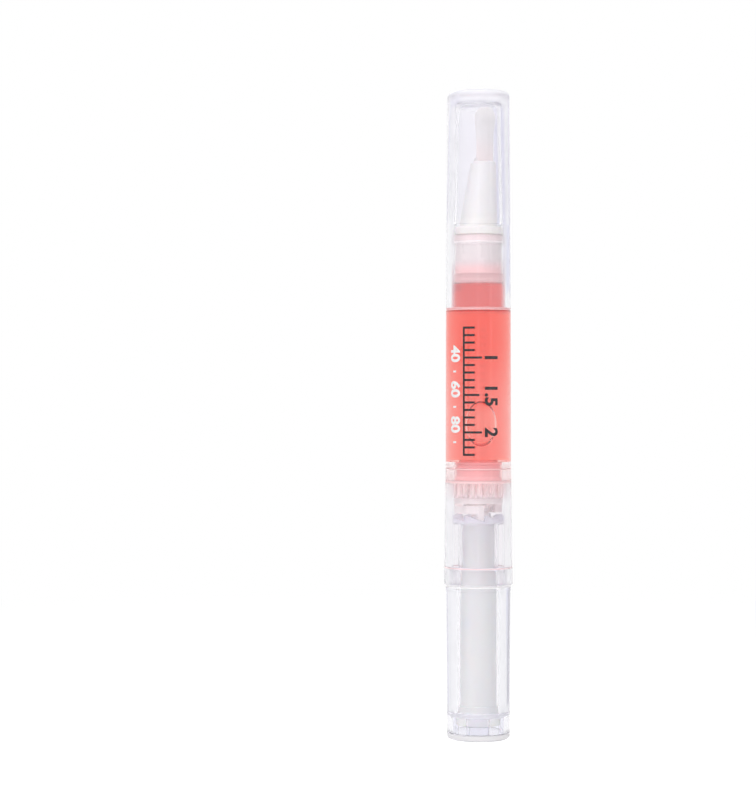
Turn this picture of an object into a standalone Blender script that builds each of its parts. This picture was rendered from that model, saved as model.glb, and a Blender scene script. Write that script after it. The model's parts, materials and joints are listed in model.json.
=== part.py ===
"""A twist-up brush pen for nail oil, standing on its base, as an assembly of separate pieces.

Turning the knob turns the drive tube and the flat-sided screw rod in it. The rod screws through the fixed
guide nut and pushes the piston, which feeds oil through the capillary into the brush. Metres, +Z up,
with the origin at the middle of the base.
"""
import math

import bmesh
import bpy
from mathutils import Matrix, Vector

# Fits between pieces
SEAT_GAP = 0.00005          # between faces that rest on each other
SHOULDER_GAP = 0.0001       # between the turning knob and the barrel, and under the cap
PRESS_FIT = 0.00005         # radial gap of a piece pushed into its bore
RUNNING_FIT = 0.0001        # radial gap of a piece that turns or slides
THREAD_FIT = 0.00012        # gap between the rod's thread and the nut's
EMBED = 0.0002              # how deep joined shapes of one piece run into each other

# Roundings that several pieces share
EDGE_BREAK = 0.0001
EDGE_ROUNDING = 0.0002
STEP_ROUNDING = 0.0003

# Knob, the clear turning end
KNOB_BODY_HEIGHT = 0.02835
KNOB_BOTTOM_DIAMETER = 0.0122
KNOB_TOP_DIAMETER = 0.01252
KNOB_BAND_DIAMETER = 0.01266
KNOB_BAND_HEIGHT = 0.0009
KNOB_WALL = 0.0026
KNOB_SOCKET_DIAMETER = 0.0100
KNOB_SOCKET_DEPTH = 0.0031
KNOB_SOCKET_CHAMFER = 0.0007
COLLAR_HEIGHT = 0.00345
SNAP_BEAD_HEIGHT = 0.0002   # how far the bead stands out of the collar
SNAP_BEAD_WIDTH = 0.0008
SNAP_BEAD_RISE = 0.0020     # from the collar's foot to the bead's middle
SPIGOT_DIAMETER = 0.00793
SPIGOT_HEIGHT = 0.0093
SPIGOT_WALL = 0.0007
KNOB_BORE_TAPER = 0.0003    # height in which the knob's bore widens into the spigot's

# Toothed crown on the knob's spigot
CROWN_DIAMETER = 0.0104
CROWN_FLANGE = 0.0006
CROWN_TEETH = 8
TOOTH_HEIGHT = 0.0011
TOOTH_FACE_ANGLE = math.radians(1.5)

# Clear disc with legs that closes the knob
END_DISC_HEIGHT = 0.0013
END_DISC_ROUNDING = 0.0005
LEG_COUNT = 4
LEG_ANGLE = math.radians(50.0)
LEG_HEIGHT = 0.0031
LEG_THICKNESS = 0.00045
LEG_PHASE = math.radians(-94.0)

# White drive tube inside the knob
TUBE_FOOT = 0.0014          # from the end disc up to the tube's foot
TUBE_FLANGE_DIAMETER = 0.0088
TUBE_FLANGE_HEIGHT = 0.0018
TUBE_COLLAR_DIAMETER = 0.00787
TUBE_COLLAR_HEIGHT = 0.0020
TUBE_DIAMETER = 0.0070
TUBE_NOSE_DIAMETER = 0.00625
TUBE_NOSE_TAPER = 0.0003    # height in which the tube narrows to its nose
TUBE_NOSE_STANDOUT = 0.0006  # above the top of the spigot's wall

# Barrel
BARREL_BODY_HEIGHT = 0.0537
BARREL_SHOULDER_DIAMETER = 0.01266
BARREL_SHOULDER_ROUNDING = 0.00015
BARREL_WAIST_DIAMETER = 0.0128
BARREL_WAIST_HEIGHT = 0.0222
SKIRT_TOP_DIAMETER = 0.01295
SKIRT_TOP_HEIGHT = 0.0184
SKIRT_MIDDLE_DIAMETER = 0.0132
SKIRT_MIDDLE_HEIGHT = 0.0070
SKIRT_RIM_DIAMETER = 0.01335
SKIRT_RIM_ROUNDING = 0.0004
SKIRT_BORE_DIAMETER = 0.0108
SKIRT_BORE_DEPTH = 0.0202
SKIRT_MOUTH_DIAMETER = 0.0114
SKIRT_MOUTH_DEPTH = 0.0035
RESERVOIR_DIAMETER = 0.0094
RESERVOIR_LEAD_IN = 0.0002
NECK_HEIGHT = 0.0144
NECK_DIAMETER = 0.01045
NECK_BORE_DIAMETER = 0.0092
BORE_TAPER = 0.0016         # height in which the reservoir narrows to the neck's bore
NECK_BEAD_STANDOUT = 0.00008
NECK_BEAD_WIDTH = 0.0007
NECK_BEAD_DROP = 0.0014     # from the neck's top down to the bead's middle

# Guide nut in the skirt
NUT_RIBS = 24
RIB_CREST_SHARE = 0.56      # of the ribs' pitch
RIB_VALLEY_SHARE = 0.20     # of the ribs' pitch
NUT_RING_HEIGHT = 0.0030
NUT_RIB_DEPTH = 0.0003
NUT_RIB_LEAD_IN = 0.0004    # height of the ribs' slanted feet
NUT_RIB_INSET = 0.00021     # how far the feet draw in
NUT_HUB_DIAMETER = 0.0058
NUT_HUB_HEIGHT = 0.0027
KEY_WIDTH = 0.0010
KEY_HEIGHT = 0.0005

# Ring with two spring arms under the nut
CLICK_RING_DIAMETER = 0.00944
CLICK_BAND_HEIGHT = 0.0011
CLICK_SLIT = 0.0003
ARM_HEIGHT = 0.0016
ARM_TOP_DROP = 0.0003       # of the arm's upper edge at its root
ARM_SLIT_ANGLE = math.radians(1.0)
ARM_COUNT = 2
ARM_ANGLE = math.radians(95.0)
ARM_ROOT_ANGLE = math.radians(12.0)
ARM_END = math.radians(280.5)
PAWL_ANGLE = math.radians(14.0)
PAWL_GAP = 0.0001
PAWL_FACE_ANGLE = math.radians(1.0)     # from the pawl's face to the tooth that stops it

# Screw rod
ROD_LEAD = 0.0020
ROD_CREST_DIAMETER = 0.0044
ROD_ROOT_DIAMETER = 0.0032
ROD_ACROSS_FLATS = 0.0030
THREAD_ROOT_WIDTH = 0.0011
THREAD_CREST_WIDTH = 0.0005
THREAD_RUN_OUT = 0.0007     # bare core at the rod's tail
ROD_END_CHAMFER = 0.0003
FEED_TRAVEL = 0.0340
ROD_TAIL = 0.0022           # how far the rod stays in the drive tube at the end of its travel
TUBE_BORE_CLEARANCE = 0.0002
TUBE_FLAT_CLEARANCE = 0.00015

# Piston
PISTON_HEIGHT = 0.0040
PISTON_FOOT_GAP = 0.00025   # above the guide nut
PISTON_END_LIP = 0.0004     # height of the lips at the two ends
PISTON_LIP_LAND = 0.0002
PISTON_LIP_SLANT = 0.0002
MIDDLE_LIP_DROP = 0.0020    # from the piston's top down to the middle lip's foot
TOP_LIP_DROP = 0.0010
PISTON_WAIST_DIAMETER = 0.0086
PISTON_SKIRT_WALL = 0.0006
PISTON_SKIRT_DEPTH = 0.0017
PISTON_CROWN_DIAMETER = 0.0076
SOCKET_WALL = 0.0008
ROD_HEAD_DIAMETER = 0.0030
ROD_HEAD_HEIGHT = 0.0010
ROD_HEAD_LAND = 0.0004
ROD_HEAD_TIP_DIAMETER = 0.0021
ROD_NECK_DIAMETER = 0.0023
ROD_NECK_HEIGHT = 0.0012

# Neck plug, nozzle, capillary and tuft
PLUG_BODY_HEIGHT = 0.0059
PLUG_SKIRT_HEIGHT = 0.0016
PLUG_SKIRT_WALL = 0.00065
PLUG_FLOOR = 0.0008
NOZZLE_FLANGE_DIAMETER = 0.0100
NOZZLE_FLANGE_HEIGHT = 0.0016
NOZZLE_BASE_DIAMETER = 0.0075
NOZZLE_TOP_DIAMETER = 0.0049
NOZZLE_CONE_HEIGHT = 0.0128
NOZZLE_RIM_ROUNDING = 0.0004
NOZZLE_STEM_DIAMETER = 0.0050
NOZZLE_STEM_LENGTH = 0.0049
NOZZLE_CORE_DIAMETER = 0.0030
NOZZLE_WEB = 0.0008
CAPILLARY_DIAMETER = 0.0016
CAPILLARY_BORE = 0.0009
CAPILLARY_DIP = 0.0010      # below the plug's skirt
CAPILLARY_REACH = 0.0008    # above the nozzle's rim, inside the tuft
TUFT_ROOT_DIAMETER = 0.0039
TUFT_ROOT_DEPTH = 0.0030
TUFT_BELLY_DIAMETER = 0.0043
TUFT_LENGTH = 0.0111
TUFT_DOME = 0.0021
TUFT_LEAN = 0.00035
TUFT_EYE = 0.00035          # radius of the innermost bristle tips
BRISTLE_COUNT = 300
BRISTLE_ROOT_RADIUS = 0.000055
BRISTLE_TIP_RADIUS = 0.00002

# Oil
OIL_LEVEL = 0.0019          # from the plug's skirt down to the oil
OIL_GAP = 0.0001

# Cap
CAP_LENGTH = 0.0424
CAP_TOP_DIAMETER = 0.0121
CAP_MOUTH_DIAMETER = 0.0127
CAP_TOP_ROUNDING = 0.0010
CAP_TOP_WALL = 0.0019
CAP_BORE_TOP_DIAMETER = 0.0074
CAP_BORE_FOOT_DIAMETER = 0.0086
CAP_BORE_ROUNDING = 0.0020
CAP_MOUTH_DEPTH = 0.0164
CAP_MOUTH_BORE = 0.0107

# Facets
LARGE_SIDES = 32
MEDIUM_SIDES = 28
SMALL_SIDES = 20
STEPS_PER_TURN = 16         # of the nut's thread
LEG_STEPS = 5
ARM_STEPS = 5
ROD_POINTS = 4              # across each threaded side of the rod
FILLET_STEPS = 2

# Heights that follow from the sizes above
knob_foot = END_DISC_HEIGHT + SEAT_GAP
knob_shoulder = knob_foot + KNOB_BODY_HEIGHT
spigot_foot = knob_shoulder + COLLAR_HEIGHT
spigot_top = spigot_foot + SPIGOT_HEIGHT
tube_foot = END_DISC_HEIGHT + TUBE_FOOT
tube_shoulder = tube_foot + TUBE_FLANGE_HEIGHT + TUBE_COLLAR_HEIGHT
tube_top = spigot_top + TUBE_NOSE_STANDOUT
barrel_rim = knob_shoulder + SHOULDER_GAP
barrel_shoulder = barrel_rim + BARREL_BODY_HEIGHT
neck_top = barrel_shoulder + NECK_HEIGHT
reservoir_foot = barrel_rim + SKIRT_BORE_DEPTH
nut_top = reservoir_foot - SEAT_GAP
nut_ring_foot = nut_top - NUT_RING_HEIGHT
nut_hub_foot = nut_ring_foot - NUT_HUB_HEIGHT
click_top = nut_ring_foot - SEAT_GAP
click_band_foot = click_top - CLICK_BAND_HEIGHT
arm_top = click_band_foot - CLICK_SLIT
arm_foot = arm_top - ARM_HEIGHT
piston_foot = reservoir_foot + PISTON_FOOT_GAP
piston_top = piston_foot + PISTON_HEIGHT
nozzle_seat = neck_top + SEAT_GAP
nozzle_foot = nozzle_seat - NOZZLE_STEM_LENGTH
nozzle_top = nozzle_seat + NOZZLE_FLANGE_HEIGHT + NOZZLE_CONE_HEIGHT
plug_body_foot = neck_top - PLUG_BODY_HEIGHT
plug_foot = plug_body_foot - PLUG_SKIRT_HEIGHT
oil_top = plug_foot - OIL_LEVEL
tuft_root_foot = nozzle_top - TUFT_ROOT_DEPTH
rod_foot = tube_top - ROD_TAIL - FEED_TRAVEL
rod_top = piston_foot
rod_thread_foot = rod_foot + THREAD_RUN_OUT
rod_thread_top = rod_top - THREAD_RUN_OUT / 2
cap_mouth = barrel_shoulder + SHOULDER_GAP
cap_top = cap_mouth + CAP_LENGTH

# Radii that follow from the sizes above
knob_bore = KNOB_TOP_DIAMETER / 2 - KNOB_WALL
spigot_bore = SPIGOT_DIAMETER / 2 - SPIGOT_WALL
collar_radius = SKIRT_MOUTH_DIAMETER / 2 - RUNNING_FIT
snap_bead_radius = collar_radius + SNAP_BEAD_HEIGHT
click_bore = NUT_HUB_DIAMETER / 2 + RUNNING_FIT
arm_bore = TUBE_NOSE_DIAMETER / 2 + RUNNING_FIT
capillary_hole = CAPILLARY_DIAMETER / 2 + PRESS_FIT
piston_radius = RESERVOIR_DIAMETER / 2 - PRESS_FIT
rod_head_socket = ROD_HEAD_DIAMETER / 2 + RUNNING_FIT

# Angles that follow from the sizes above
tooth_angle = 2 * math.pi / CROWN_TEETH
first_tooth = ARM_END + PAWL_FACE_ANGLE + TOOTH_FACE_ANGLE

CLEAR = {"colour": (0.93, 0.92, 0.97), "roughness": 0.04, "clear": 0.95}
FROSTED = {"colour": (0.94, 0.92, 0.93), "roughness": 0.35, "clear": 0.6}
WHITE = {"colour": (0.90, 0.89, 0.89), "roughness": 0.4, "clear": 0.0}
MILKY = {"colour": (0.86, 0.86, 0.87), "roughness": 0.35, "clear": 0.3}
OIL = {"colour": (0.96, 0.30, 0.24), "roughness": 0.02, "clear": 0.8}
BRISTLE = {"colour": (0.92, 0.86, 0.85), "roughness": 0.55, "clear": 0.0}


def clear_scene():
    """Removes what the scene holds."""
    for thing in list(bpy.data.objects):
        bpy.data.objects.remove(thing, do_unlink=True)


def finish_material(name, finish):
    """A Principled material of one of the finishes above."""
    material = bpy.data.materials.new(name)
    material.use_nodes = True
    shader = material.node_tree.nodes["Principled BSDF"]
    shader.inputs["Base Color"].default_value = (*finish["colour"], 1.0)
    shader.inputs["Roughness"].default_value = finish["roughness"]
    shader.inputs["Metallic"].default_value = 0.0
    shader.inputs["Transmission Weight"].default_value = finish["clear"]
    shader.inputs["IOR"].default_value = 1.49
    return material


def to_object(name, mesh_data):
    """An object of this name from a bmesh, with its faces pointing out."""
    bmesh.ops.remove_doubles(mesh_data, verts=mesh_data.verts, dist=1e-7)
    bmesh.ops.recalc_face_normals(mesh_data, faces=mesh_data.faces)
    mesh = bpy.data.meshes.new(name)
    mesh_data.to_mesh(mesh)
    mesh_data.free()
    thing = bpy.data.objects.new(name, mesh)
    bpy.context.scene.collection.objects.link(thing)
    return thing


def combine(body, tool, operation):
    """Joins, cuts or intersects a body with a tool, which is then removed."""
    modifier = body.modifiers.new(operation.title(), "BOOLEAN")
    modifier.operation = operation
    modifier.solver = "EXACT"
    modifier.object = tool
    evaluated = body.evaluated_get(bpy.context.evaluated_depsgraph_get())
    mesh = bpy.data.meshes.new_from_object(evaluated)
    body.modifiers.remove(modifier)
    old = body.data
    body.data = mesh
    mesh.name = old.name
    bpy.data.meshes.remove(old)
    bpy.data.objects.remove(tool, do_unlink=True)


def dress(thing, finish):
    """Gives a finished piece its material and smooth round faces."""
    thing.data.materials.clear()
    thing.data.materials.append(finish_material(thing.name, finish))
    thing.data.shade_smooth()
    thing.data.set_sharp_from_angle(angle=math.radians(32.0))
    return thing


def fillet(before, corner, after, radius, steps):
    """Points of an arc that rounds a corner, kept within half of each side."""
    back = Vector(before) - Vector(corner)
    on = Vector(after) - Vector(corner)
    half = back.angle(on) / 2
    tangent = min(radius / math.tan(half), 0.49 * back.length, 0.49 * on.length)
    radius = tangent * math.tan(half)
    middle = Vector(corner) + (back.normalized() + on.normalized()).normalized() * radius / math.sin(half)
    start = Vector(corner) + back.normalized() * tangent - middle
    end = Vector(corner) + on.normalized() * tangent - middle
    points = []
    for step in range(steps + 1):
        share = step / steps
        spoke = start.lerp(end, share).normalized() * radius
        points.append(middle + spoke)
    return points


def outline(corners, steps=FILLET_STEPS):
    """Points (radius, height) along corners, each a pair or, where it is rounded, a triple."""
    points = []
    for index, corner in enumerate(corners):
        if len(corner) == 2:
            points.append(Vector(corner))
            continue
        before = corners[index - 1][:2]
        after = corners[(index + 1) % len(corners)][:2]
        points += fillet(before, corner[:2], after, corner[2], steps)
    return points


def turned(name, corners, sides):
    """A closed body turned about Z. An outline that starts and ends on the axis stays open there."""
    points = outline(corners)
    mesh_data = bmesh.new()
    ring = [mesh_data.verts.new((point.x, 0.0, point.y)) for point in points]
    pairs = list(zip(ring, ring[1:]))
    if points[0].x > 0.0 or points[-1].x > 0.0:
        pairs.append((ring[-1], ring[0]))
    edges = [mesh_data.edges.new(pair) for pair in pairs]
    bmesh.ops.spin(
        mesh_data, geom=ring + edges, cent=(0, 0, 0), axis=(0, 0, 1),
        angle=2 * math.pi, steps=sides, use_merge=True,
    )
    return to_object(name, mesh_data)


def lofted(name, sections, closed):
    """A body through sections of equally many points. An open one has its two ends filled."""
    mesh_data = bmesh.new()
    rings = [[mesh_data.verts.new(point) for point in section] for section in sections]
    pairs = list(zip(rings, rings[1:]))
    if closed:
        pairs.append((rings[-1], rings[0]))
    else:
        mesh_data.faces.new(rings[0])
        mesh_data.faces.new(rings[-1])
    for one, two in pairs:
        for index in range(len(one)):
            nearby = (index + 1) % len(one)
            mesh_data.faces.new((one[index], one[nearby], two[nearby], two[index]))
    return to_object(name, mesh_data)


def polar(radius, angle, height):
    """A point from its radius, angle and height."""
    return Vector((radius * math.cos(angle), radius * math.sin(angle), height))


def sector(name, inner, outer, stations, closed=False):
    """A ring or part of one. Each station is (angle, lowest height, highest height)."""
    sections = []
    for angle, low, high in stations:
        sections.append([
            polar(inner, angle, low), polar(outer, angle, low),
            polar(outer, angle, high), polar(inner, angle, high),
        ])
    return lofted(name, sections, closed)


def spread(start, angle, steps):
    """Evenly spaced angles from start through angle."""
    return [start + angle * step / steps for step in range(steps + 1)]


def prism(name, points, low, high):
    """An upright prism over points (x, y)."""
    sections = [[(x, y, height) for x, y in points] for height in (low, high)]
    return lofted(name, sections, closed=False)


def double_d(radius, half_flat, sides):
    """Points of a circle cut by two flats."""
    points = []
    for step in range(sides):
        angle = 2 * math.pi * step / sides
        y = radius * math.sin(angle)
        points.append((radius * math.cos(angle), max(-half_flat, min(half_flat, y))))
    return points


def ridge(growth):
    """The thread's section as (radius, height) pairs, larger by growth on every side."""
    core = ROD_ROOT_DIAMETER / 2 + growth
    crest = ROD_CREST_DIAMETER / 2 + growth
    root_half = THREAD_ROOT_WIDTH / 2 + growth
    crest_half = THREAD_CREST_WIDTH / 2 + growth
    return [(core, -root_half), (crest, -crest_half), (crest, crest_half), (core, root_half)]


def thread_row(angles_at, core, radius, level, low, high):
    """Points that rise with their angle from a level, held on the core where the thread runs out."""
    points = []
    for column, angle in enumerate(angles_at(radius)):
        height = level + ROD_LEAD * angle / (2 * math.pi)
        if low < height < high:
            points.append(polar(radius, angle, height))
        else:
            points.append(polar(core, angles_at(core)[column], min(max(height, low), high)))
    return points


def threaded(name, angles_at, growth, low, high, foot_rows, top_row):
    """A bar with a right-hand thread between heights low and high, whose plain ends are given as rows.

    Its points stand in columns, and angles_at gives the columns' angles at a radius.
    """
    section = ridge(growth)
    core = section[0][0]
    first = math.floor((low - rod_thread_foot) / ROD_LEAD) - 1
    last = math.ceil((high - rod_thread_foot) / ROD_LEAD) + 1
    rows = [[polar(radius, angle, height) for angle in angles_at(radius)] for radius, height in foot_rows]
    thread_start = len(rows)
    for turn in range(first, last + 1):
        for radius, rise in section:
            level = rod_thread_foot + ROD_LEAD * turn + rise
            rows.append(thread_row(angles_at, core, radius, level, low, high))
    thread_end = len(rows) - 1
    rows.append([polar(top_row[0], angle, top_row[1]) for angle in angles_at(top_row[0])])
    mesh_data = bmesh.new()
    grid = [[mesh_data.verts.new(point) for point in row] for row in rows]
    mesh_data.faces.new(grid[0])
    mesh_data.faces.new(grid[-1])
    beside = []
    for row, points in enumerate(grid):
        climbed = row
        if thread_start <= row <= thread_end:
            # past the last column the thread has climbed one turn
            climbed = min(row + len(section), thread_end)
        beside.append(points[1:] + [grid[climbed][0]])
    for row in range(len(grid) - 1):
        for column in range(len(grid[row])):
            corners = [
                grid[row][column], beside[row][column], beside[row + 1][column], grid[row + 1][column],
            ]
            mesh_data.faces.new(dict.fromkeys(corners))
    return to_object(name, mesh_data)


def rod_angles(radius):
    """Angles of the rod's columns, which stand on two sides between the flats."""
    edge = math.asin(min(1.0, ROD_ACROSS_FLATS / 2 / radius))
    one_side = spread(-edge, 2 * edge, ROD_POINTS - 1)
    return one_side + [angle + math.pi for angle in one_side]


def nut_angles(radius):
    """Angles of the nut's columns, which are the same at every radius."""
    return spread(0.0, 2 * math.pi, STEPS_PER_TURN)[:-1]


def make_end_plug():
    """Clear disc with legs that spring into the knob's socket."""
    radius = KNOB_BOTTOM_DIAMETER / 2
    body = turned("end_plug", [
        (0.0, 0.0), (radius, 0.0, END_DISC_ROUNDING),
        (radius, END_DISC_HEIGHT, END_DISC_ROUNDING / 4), (0.0, END_DISC_HEIGHT),
    ], LARGE_SIDES)
    outer = KNOB_SOCKET_DIAMETER / 2 - PRESS_FIT
    for leg in range(LEG_COUNT):
        middle = LEG_PHASE + 2 * math.pi * leg / LEG_COUNT
        stations = [
            (angle, END_DISC_HEIGHT - EMBED, END_DISC_HEIGHT + LEG_HEIGHT)
            for angle in spread(middle - LEG_ANGLE / 2, LEG_ANGLE, LEG_STEPS)
        ]
        combine(body, sector("leg", outer - LEG_THICKNESS, outer, stations), "UNION")
    return dress(body, CLEAR)


def crown_height(turn):
    """Height of the crown's ramp above its flange, at an angle into one tooth."""
    return TOOTH_HEIGHT * (1.0 - turn / (tooth_angle - TOOTH_FACE_ANGLE))


def make_knob():
    """Clear turning end: body, collar with its snap bead, spigot and toothed crown."""
    bottom = KNOB_BOTTOM_DIAMETER / 2
    top = KNOB_TOP_DIAMETER / 2
    band = KNOB_BAND_DIAMETER / 2
    spigot = SPIGOT_DIAMETER / 2
    socket = KNOB_SOCKET_DIAMETER / 2
    socket_top = knob_foot + KNOB_SOCKET_DEPTH
    collar_bore = TUBE_COLLAR_DIAMETER / 2 + PRESS_FIT
    tube_step = tube_shoulder + SEAT_GAP
    bead = knob_shoulder + SNAP_BEAD_RISE
    body = turned("knob", [
        (socket, knob_foot), (bottom, knob_foot, EDGE_BREAK),
        (top, knob_shoulder - KNOB_BAND_HEIGHT), (band, knob_shoulder - KNOB_BAND_HEIGHT, EDGE_BREAK),
        (band, knob_shoulder, EDGE_ROUNDING), (collar_radius, knob_shoulder),
        (collar_radius, bead - SNAP_BEAD_WIDTH / 2), (snap_bead_radius, bead, SNAP_BEAD_WIDTH / 3),
        (collar_radius, bead + SNAP_BEAD_WIDTH / 2), (collar_radius, spigot_foot, STEP_ROUNDING),
        (spigot, spigot_foot), (spigot, spigot_top), (spigot_bore, spigot_top),
        (spigot_bore, spigot_foot), (knob_bore, spigot_foot - KNOB_BORE_TAPER), (knob_bore, tube_step),
        (collar_bore, tube_step), (collar_bore, socket_top + KNOB_SOCKET_CHAMFER), (socket, socket_top),
    ], LARGE_SIDES)
    flange_foot = spigot_top - CROWN_FLANGE
    stations = []
    for tooth in range(CROWN_TEETH):
        start = first_tooth + tooth_angle * tooth
        ramp = tooth_angle - TOOTH_FACE_ANGLE
        for turn in (0.0, ramp / 3, 2 * ramp / 3, ramp):
            stations.append((start + turn, flange_foot, spigot_top + crown_height(turn)))
    crown = sector("crown", spigot - SPIGOT_WALL / 2, CROWN_DIAMETER / 2, stations, closed=True)
    combine(body, crown, "UNION")
    return dress(body, CLEAR)


def make_drive_tube():
    """White tube that turns with the knob and turns the rod by its two-sided bore."""
    flange = TUBE_FLANGE_DIAMETER / 2
    flange_top = tube_foot + TUBE_FLANGE_HEIGHT
    collar = TUBE_COLLAR_DIAMETER / 2
    nose_foot = spigot_foot - EMBED
    body = turned("drive_tube", [
        (0.0, tube_foot), (flange, tube_foot, EDGE_ROUNDING), (flange, flange_top, EDGE_ROUNDING),
        (collar, flange_top), (collar, tube_shoulder),
        (TUBE_DIAMETER / 2, tube_shoulder), (TUBE_DIAMETER / 2, nose_foot - TUBE_NOSE_TAPER),
        (TUBE_NOSE_DIAMETER / 2, nose_foot), (TUBE_NOSE_DIAMETER / 2, tube_top, EDGE_ROUNDING),
        (0.0, tube_top),
    ], SMALL_SIDES)
    shape = double_d(
        ROD_CREST_DIAMETER / 2 + TUBE_BORE_CLEARANCE, ROD_ACROSS_FLATS / 2 + TUBE_FLAT_CLEARANCE, SMALL_SIDES,
    )
    combine(body, prism("bore", shape, tube_foot - EMBED, tube_top + EMBED), "DIFFERENCE")
    return dress(body, MILKY)


def make_barrel():
    """Clear barrel: reservoir, neck with its snap bead, and the skirt round the mechanism."""
    neck = NECK_DIAMETER / 2
    neck_bore = NECK_BORE_DIAMETER / 2
    bead = neck_top - NECK_BEAD_DROP
    skirt_bore = SKIRT_BORE_DIAMETER / 2
    mouth = SKIRT_MOUTH_DIAMETER / 2
    mouth_top = barrel_rim + SKIRT_MOUTH_DEPTH
    groove = knob_shoulder + SNAP_BEAD_RISE
    groove_radius = snap_bead_radius + RUNNING_FIT
    groove_half = SNAP_BEAD_WIDTH / 2 + RUNNING_FIT
    reservoir = RESERVOIR_DIAMETER / 2
    body = turned("barrel", [
        (neck_bore, neck_top), (neck, neck_top, EDGE_BREAK),
        (neck, bead + NECK_BEAD_WIDTH / 2), (neck + NECK_BEAD_STANDOUT, bead, NECK_BEAD_WIDTH / 3),
        (neck, bead - NECK_BEAD_WIDTH / 2), (neck, barrel_shoulder),
        (BARREL_SHOULDER_DIAMETER / 2, barrel_shoulder, BARREL_SHOULDER_ROUNDING),
        (BARREL_WAIST_DIAMETER / 2, barrel_rim + BARREL_WAIST_HEIGHT),
        (SKIRT_TOP_DIAMETER / 2, barrel_rim + SKIRT_TOP_HEIGHT),
        (SKIRT_MIDDLE_DIAMETER / 2, barrel_rim + SKIRT_MIDDLE_HEIGHT),
        (SKIRT_RIM_DIAMETER / 2, barrel_rim, SKIRT_RIM_ROUNDING),
        (mouth, barrel_rim), (mouth, groove - groove_half), (groove_radius, groove, SNAP_BEAD_WIDTH / 4),
        (mouth, groove + groove_half), (mouth, mouth_top), (skirt_bore, mouth_top),
        (skirt_bore, reservoir_foot), (reservoir + RESERVOIR_LEAD_IN, reservoir_foot),
        (reservoir, reservoir_foot + RESERVOIR_LEAD_IN), (reservoir, oil_top),
        (neck_bore, oil_top + BORE_TAPER),
    ], LARGE_SIDES)
    return dress(body, CLEAR)


def knurl(radius):
    """Points of the nut's ribbed outline at a crest radius."""
    points = []
    pitch = 2 * math.pi / NUT_RIBS
    valley = SKIRT_BORE_DIAMETER / 2 - PRESS_FIT - NUT_RIB_DEPTH
    crest_half = RIB_CREST_SHARE / 2
    valley_half = RIB_VALLEY_SHARE / 2
    shares = (
        (-crest_half, radius), (crest_half, radius), (0.5 - valley_half, valley), (0.5 + valley_half, valley),
    )
    for rib in range(NUT_RIBS):
        for share, depth in shares:
            angle = pitch * (rib + share)
            points.append((depth * math.cos(angle), depth * math.sin(angle)))
    return points


def make_guide_nut():
    """Knurled nut pressed into the skirt, with the thread that the rod screws through."""
    crest = SKIRT_BORE_DIAMETER / 2 - PRESS_FIT
    levels = [
        (crest - NUT_RIB_INSET, nut_ring_foot),
        (crest, nut_ring_foot + NUT_RIB_LEAD_IN),
        (crest, nut_top),
    ]
    sections = [[(x, y, height) for x, y in knurl(radius)] for radius, height in levels]
    body = lofted("guide_nut", sections, closed=False)
    hub = NUT_HUB_DIAMETER / 2
    combine(body, turned("hub", [
        (0.0, nut_hub_foot), (hub, nut_hub_foot, EDGE_BREAK), (hub, nut_ring_foot + EMBED),
        (0.0, nut_ring_foot + EMBED),
    ], SMALL_SIDES), "UNION")
    for slot in click_keys("slot", click_top - EMBED, nut_ring_foot + KEY_HEIGHT + SEAT_GAP, PRESS_FIT):
        combine(body, slot, "DIFFERENCE")
    core = ROD_ROOT_DIAMETER / 2 + THREAD_FIT
    low = nut_hub_foot - ROD_LEAD
    high = nut_top + ROD_LEAD
    tap = threaded("tap", nut_angles, THREAD_FIT, low, high, [(core, low - EMBED)], (core, high + EMBED))
    combine(body, tap, "DIFFERENCE")
    return dress(body, CLEAR)


def click_keys(name, foot, top, growth):
    """The two keys of the click ring, or the slots for them, which are larger by growth."""
    inner = click_bore + EMBED - growth
    outer = CLICK_RING_DIAMETER / 2 - EMBED + growth
    keys = []
    for side in (0.0, math.pi):
        half = (KEY_WIDTH / 2 + growth) / outer
        stations = [(angle, foot, top) for angle in spread(side - half, 2 * half, 1)]
        keys.append(sector(name, inner, outer, stations))
    return keys


def make_click_ring():
    """Ring keyed to the nut, with slanted spring arms whose pawls ride on the knob's crown."""
    outer = CLICK_RING_DIAMETER / 2
    body = turned("click_ring", [
        (click_bore, click_band_foot), (outer, click_band_foot), (outer, click_top), (click_bore, click_top),
    ], LARGE_SIDES)
    for key in click_keys("key", click_top - EMBED, nut_ring_foot + KEY_HEIGHT, 0.0):
        combine(body, key, "UNION")
    slope = TOOTH_HEIGHT / (tooth_angle - TOOTH_FACE_ANGLE)
    valley = spigot_top + PAWL_GAP
    for arm in range(ARM_COUNT):
        end = ARM_END + 2 * math.pi * arm / ARM_COUNT
        start = end - ARM_ANGLE
        root = start + ARM_ROOT_ANGLE
        pawl = end - PAWL_ANGLE
        slit = root + ARM_SLIT_ANGLE
        stations = [
            (start, arm_foot, click_band_foot + EMBED), (root, arm_foot, click_band_foot + EMBED),
        ]
        for angle in spread(slit, pawl - ARM_SLIT_ANGLE - slit, ARM_STEPS):
            stations.append((angle, arm_foot, arm_top - ARM_TOP_DROP * (pawl - angle) / (pawl - slit)))
        stations += [
            (pawl, valley + slope * (end - pawl), arm_top),
            ((pawl + end) / 2, valley + slope * (end - pawl) / 2, arm_top),
            (end, valley, arm_top),
        ]
        combine(body, sector("arm", arm_bore, outer, stations), "UNION")
    return dress(body, FROSTED)


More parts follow.
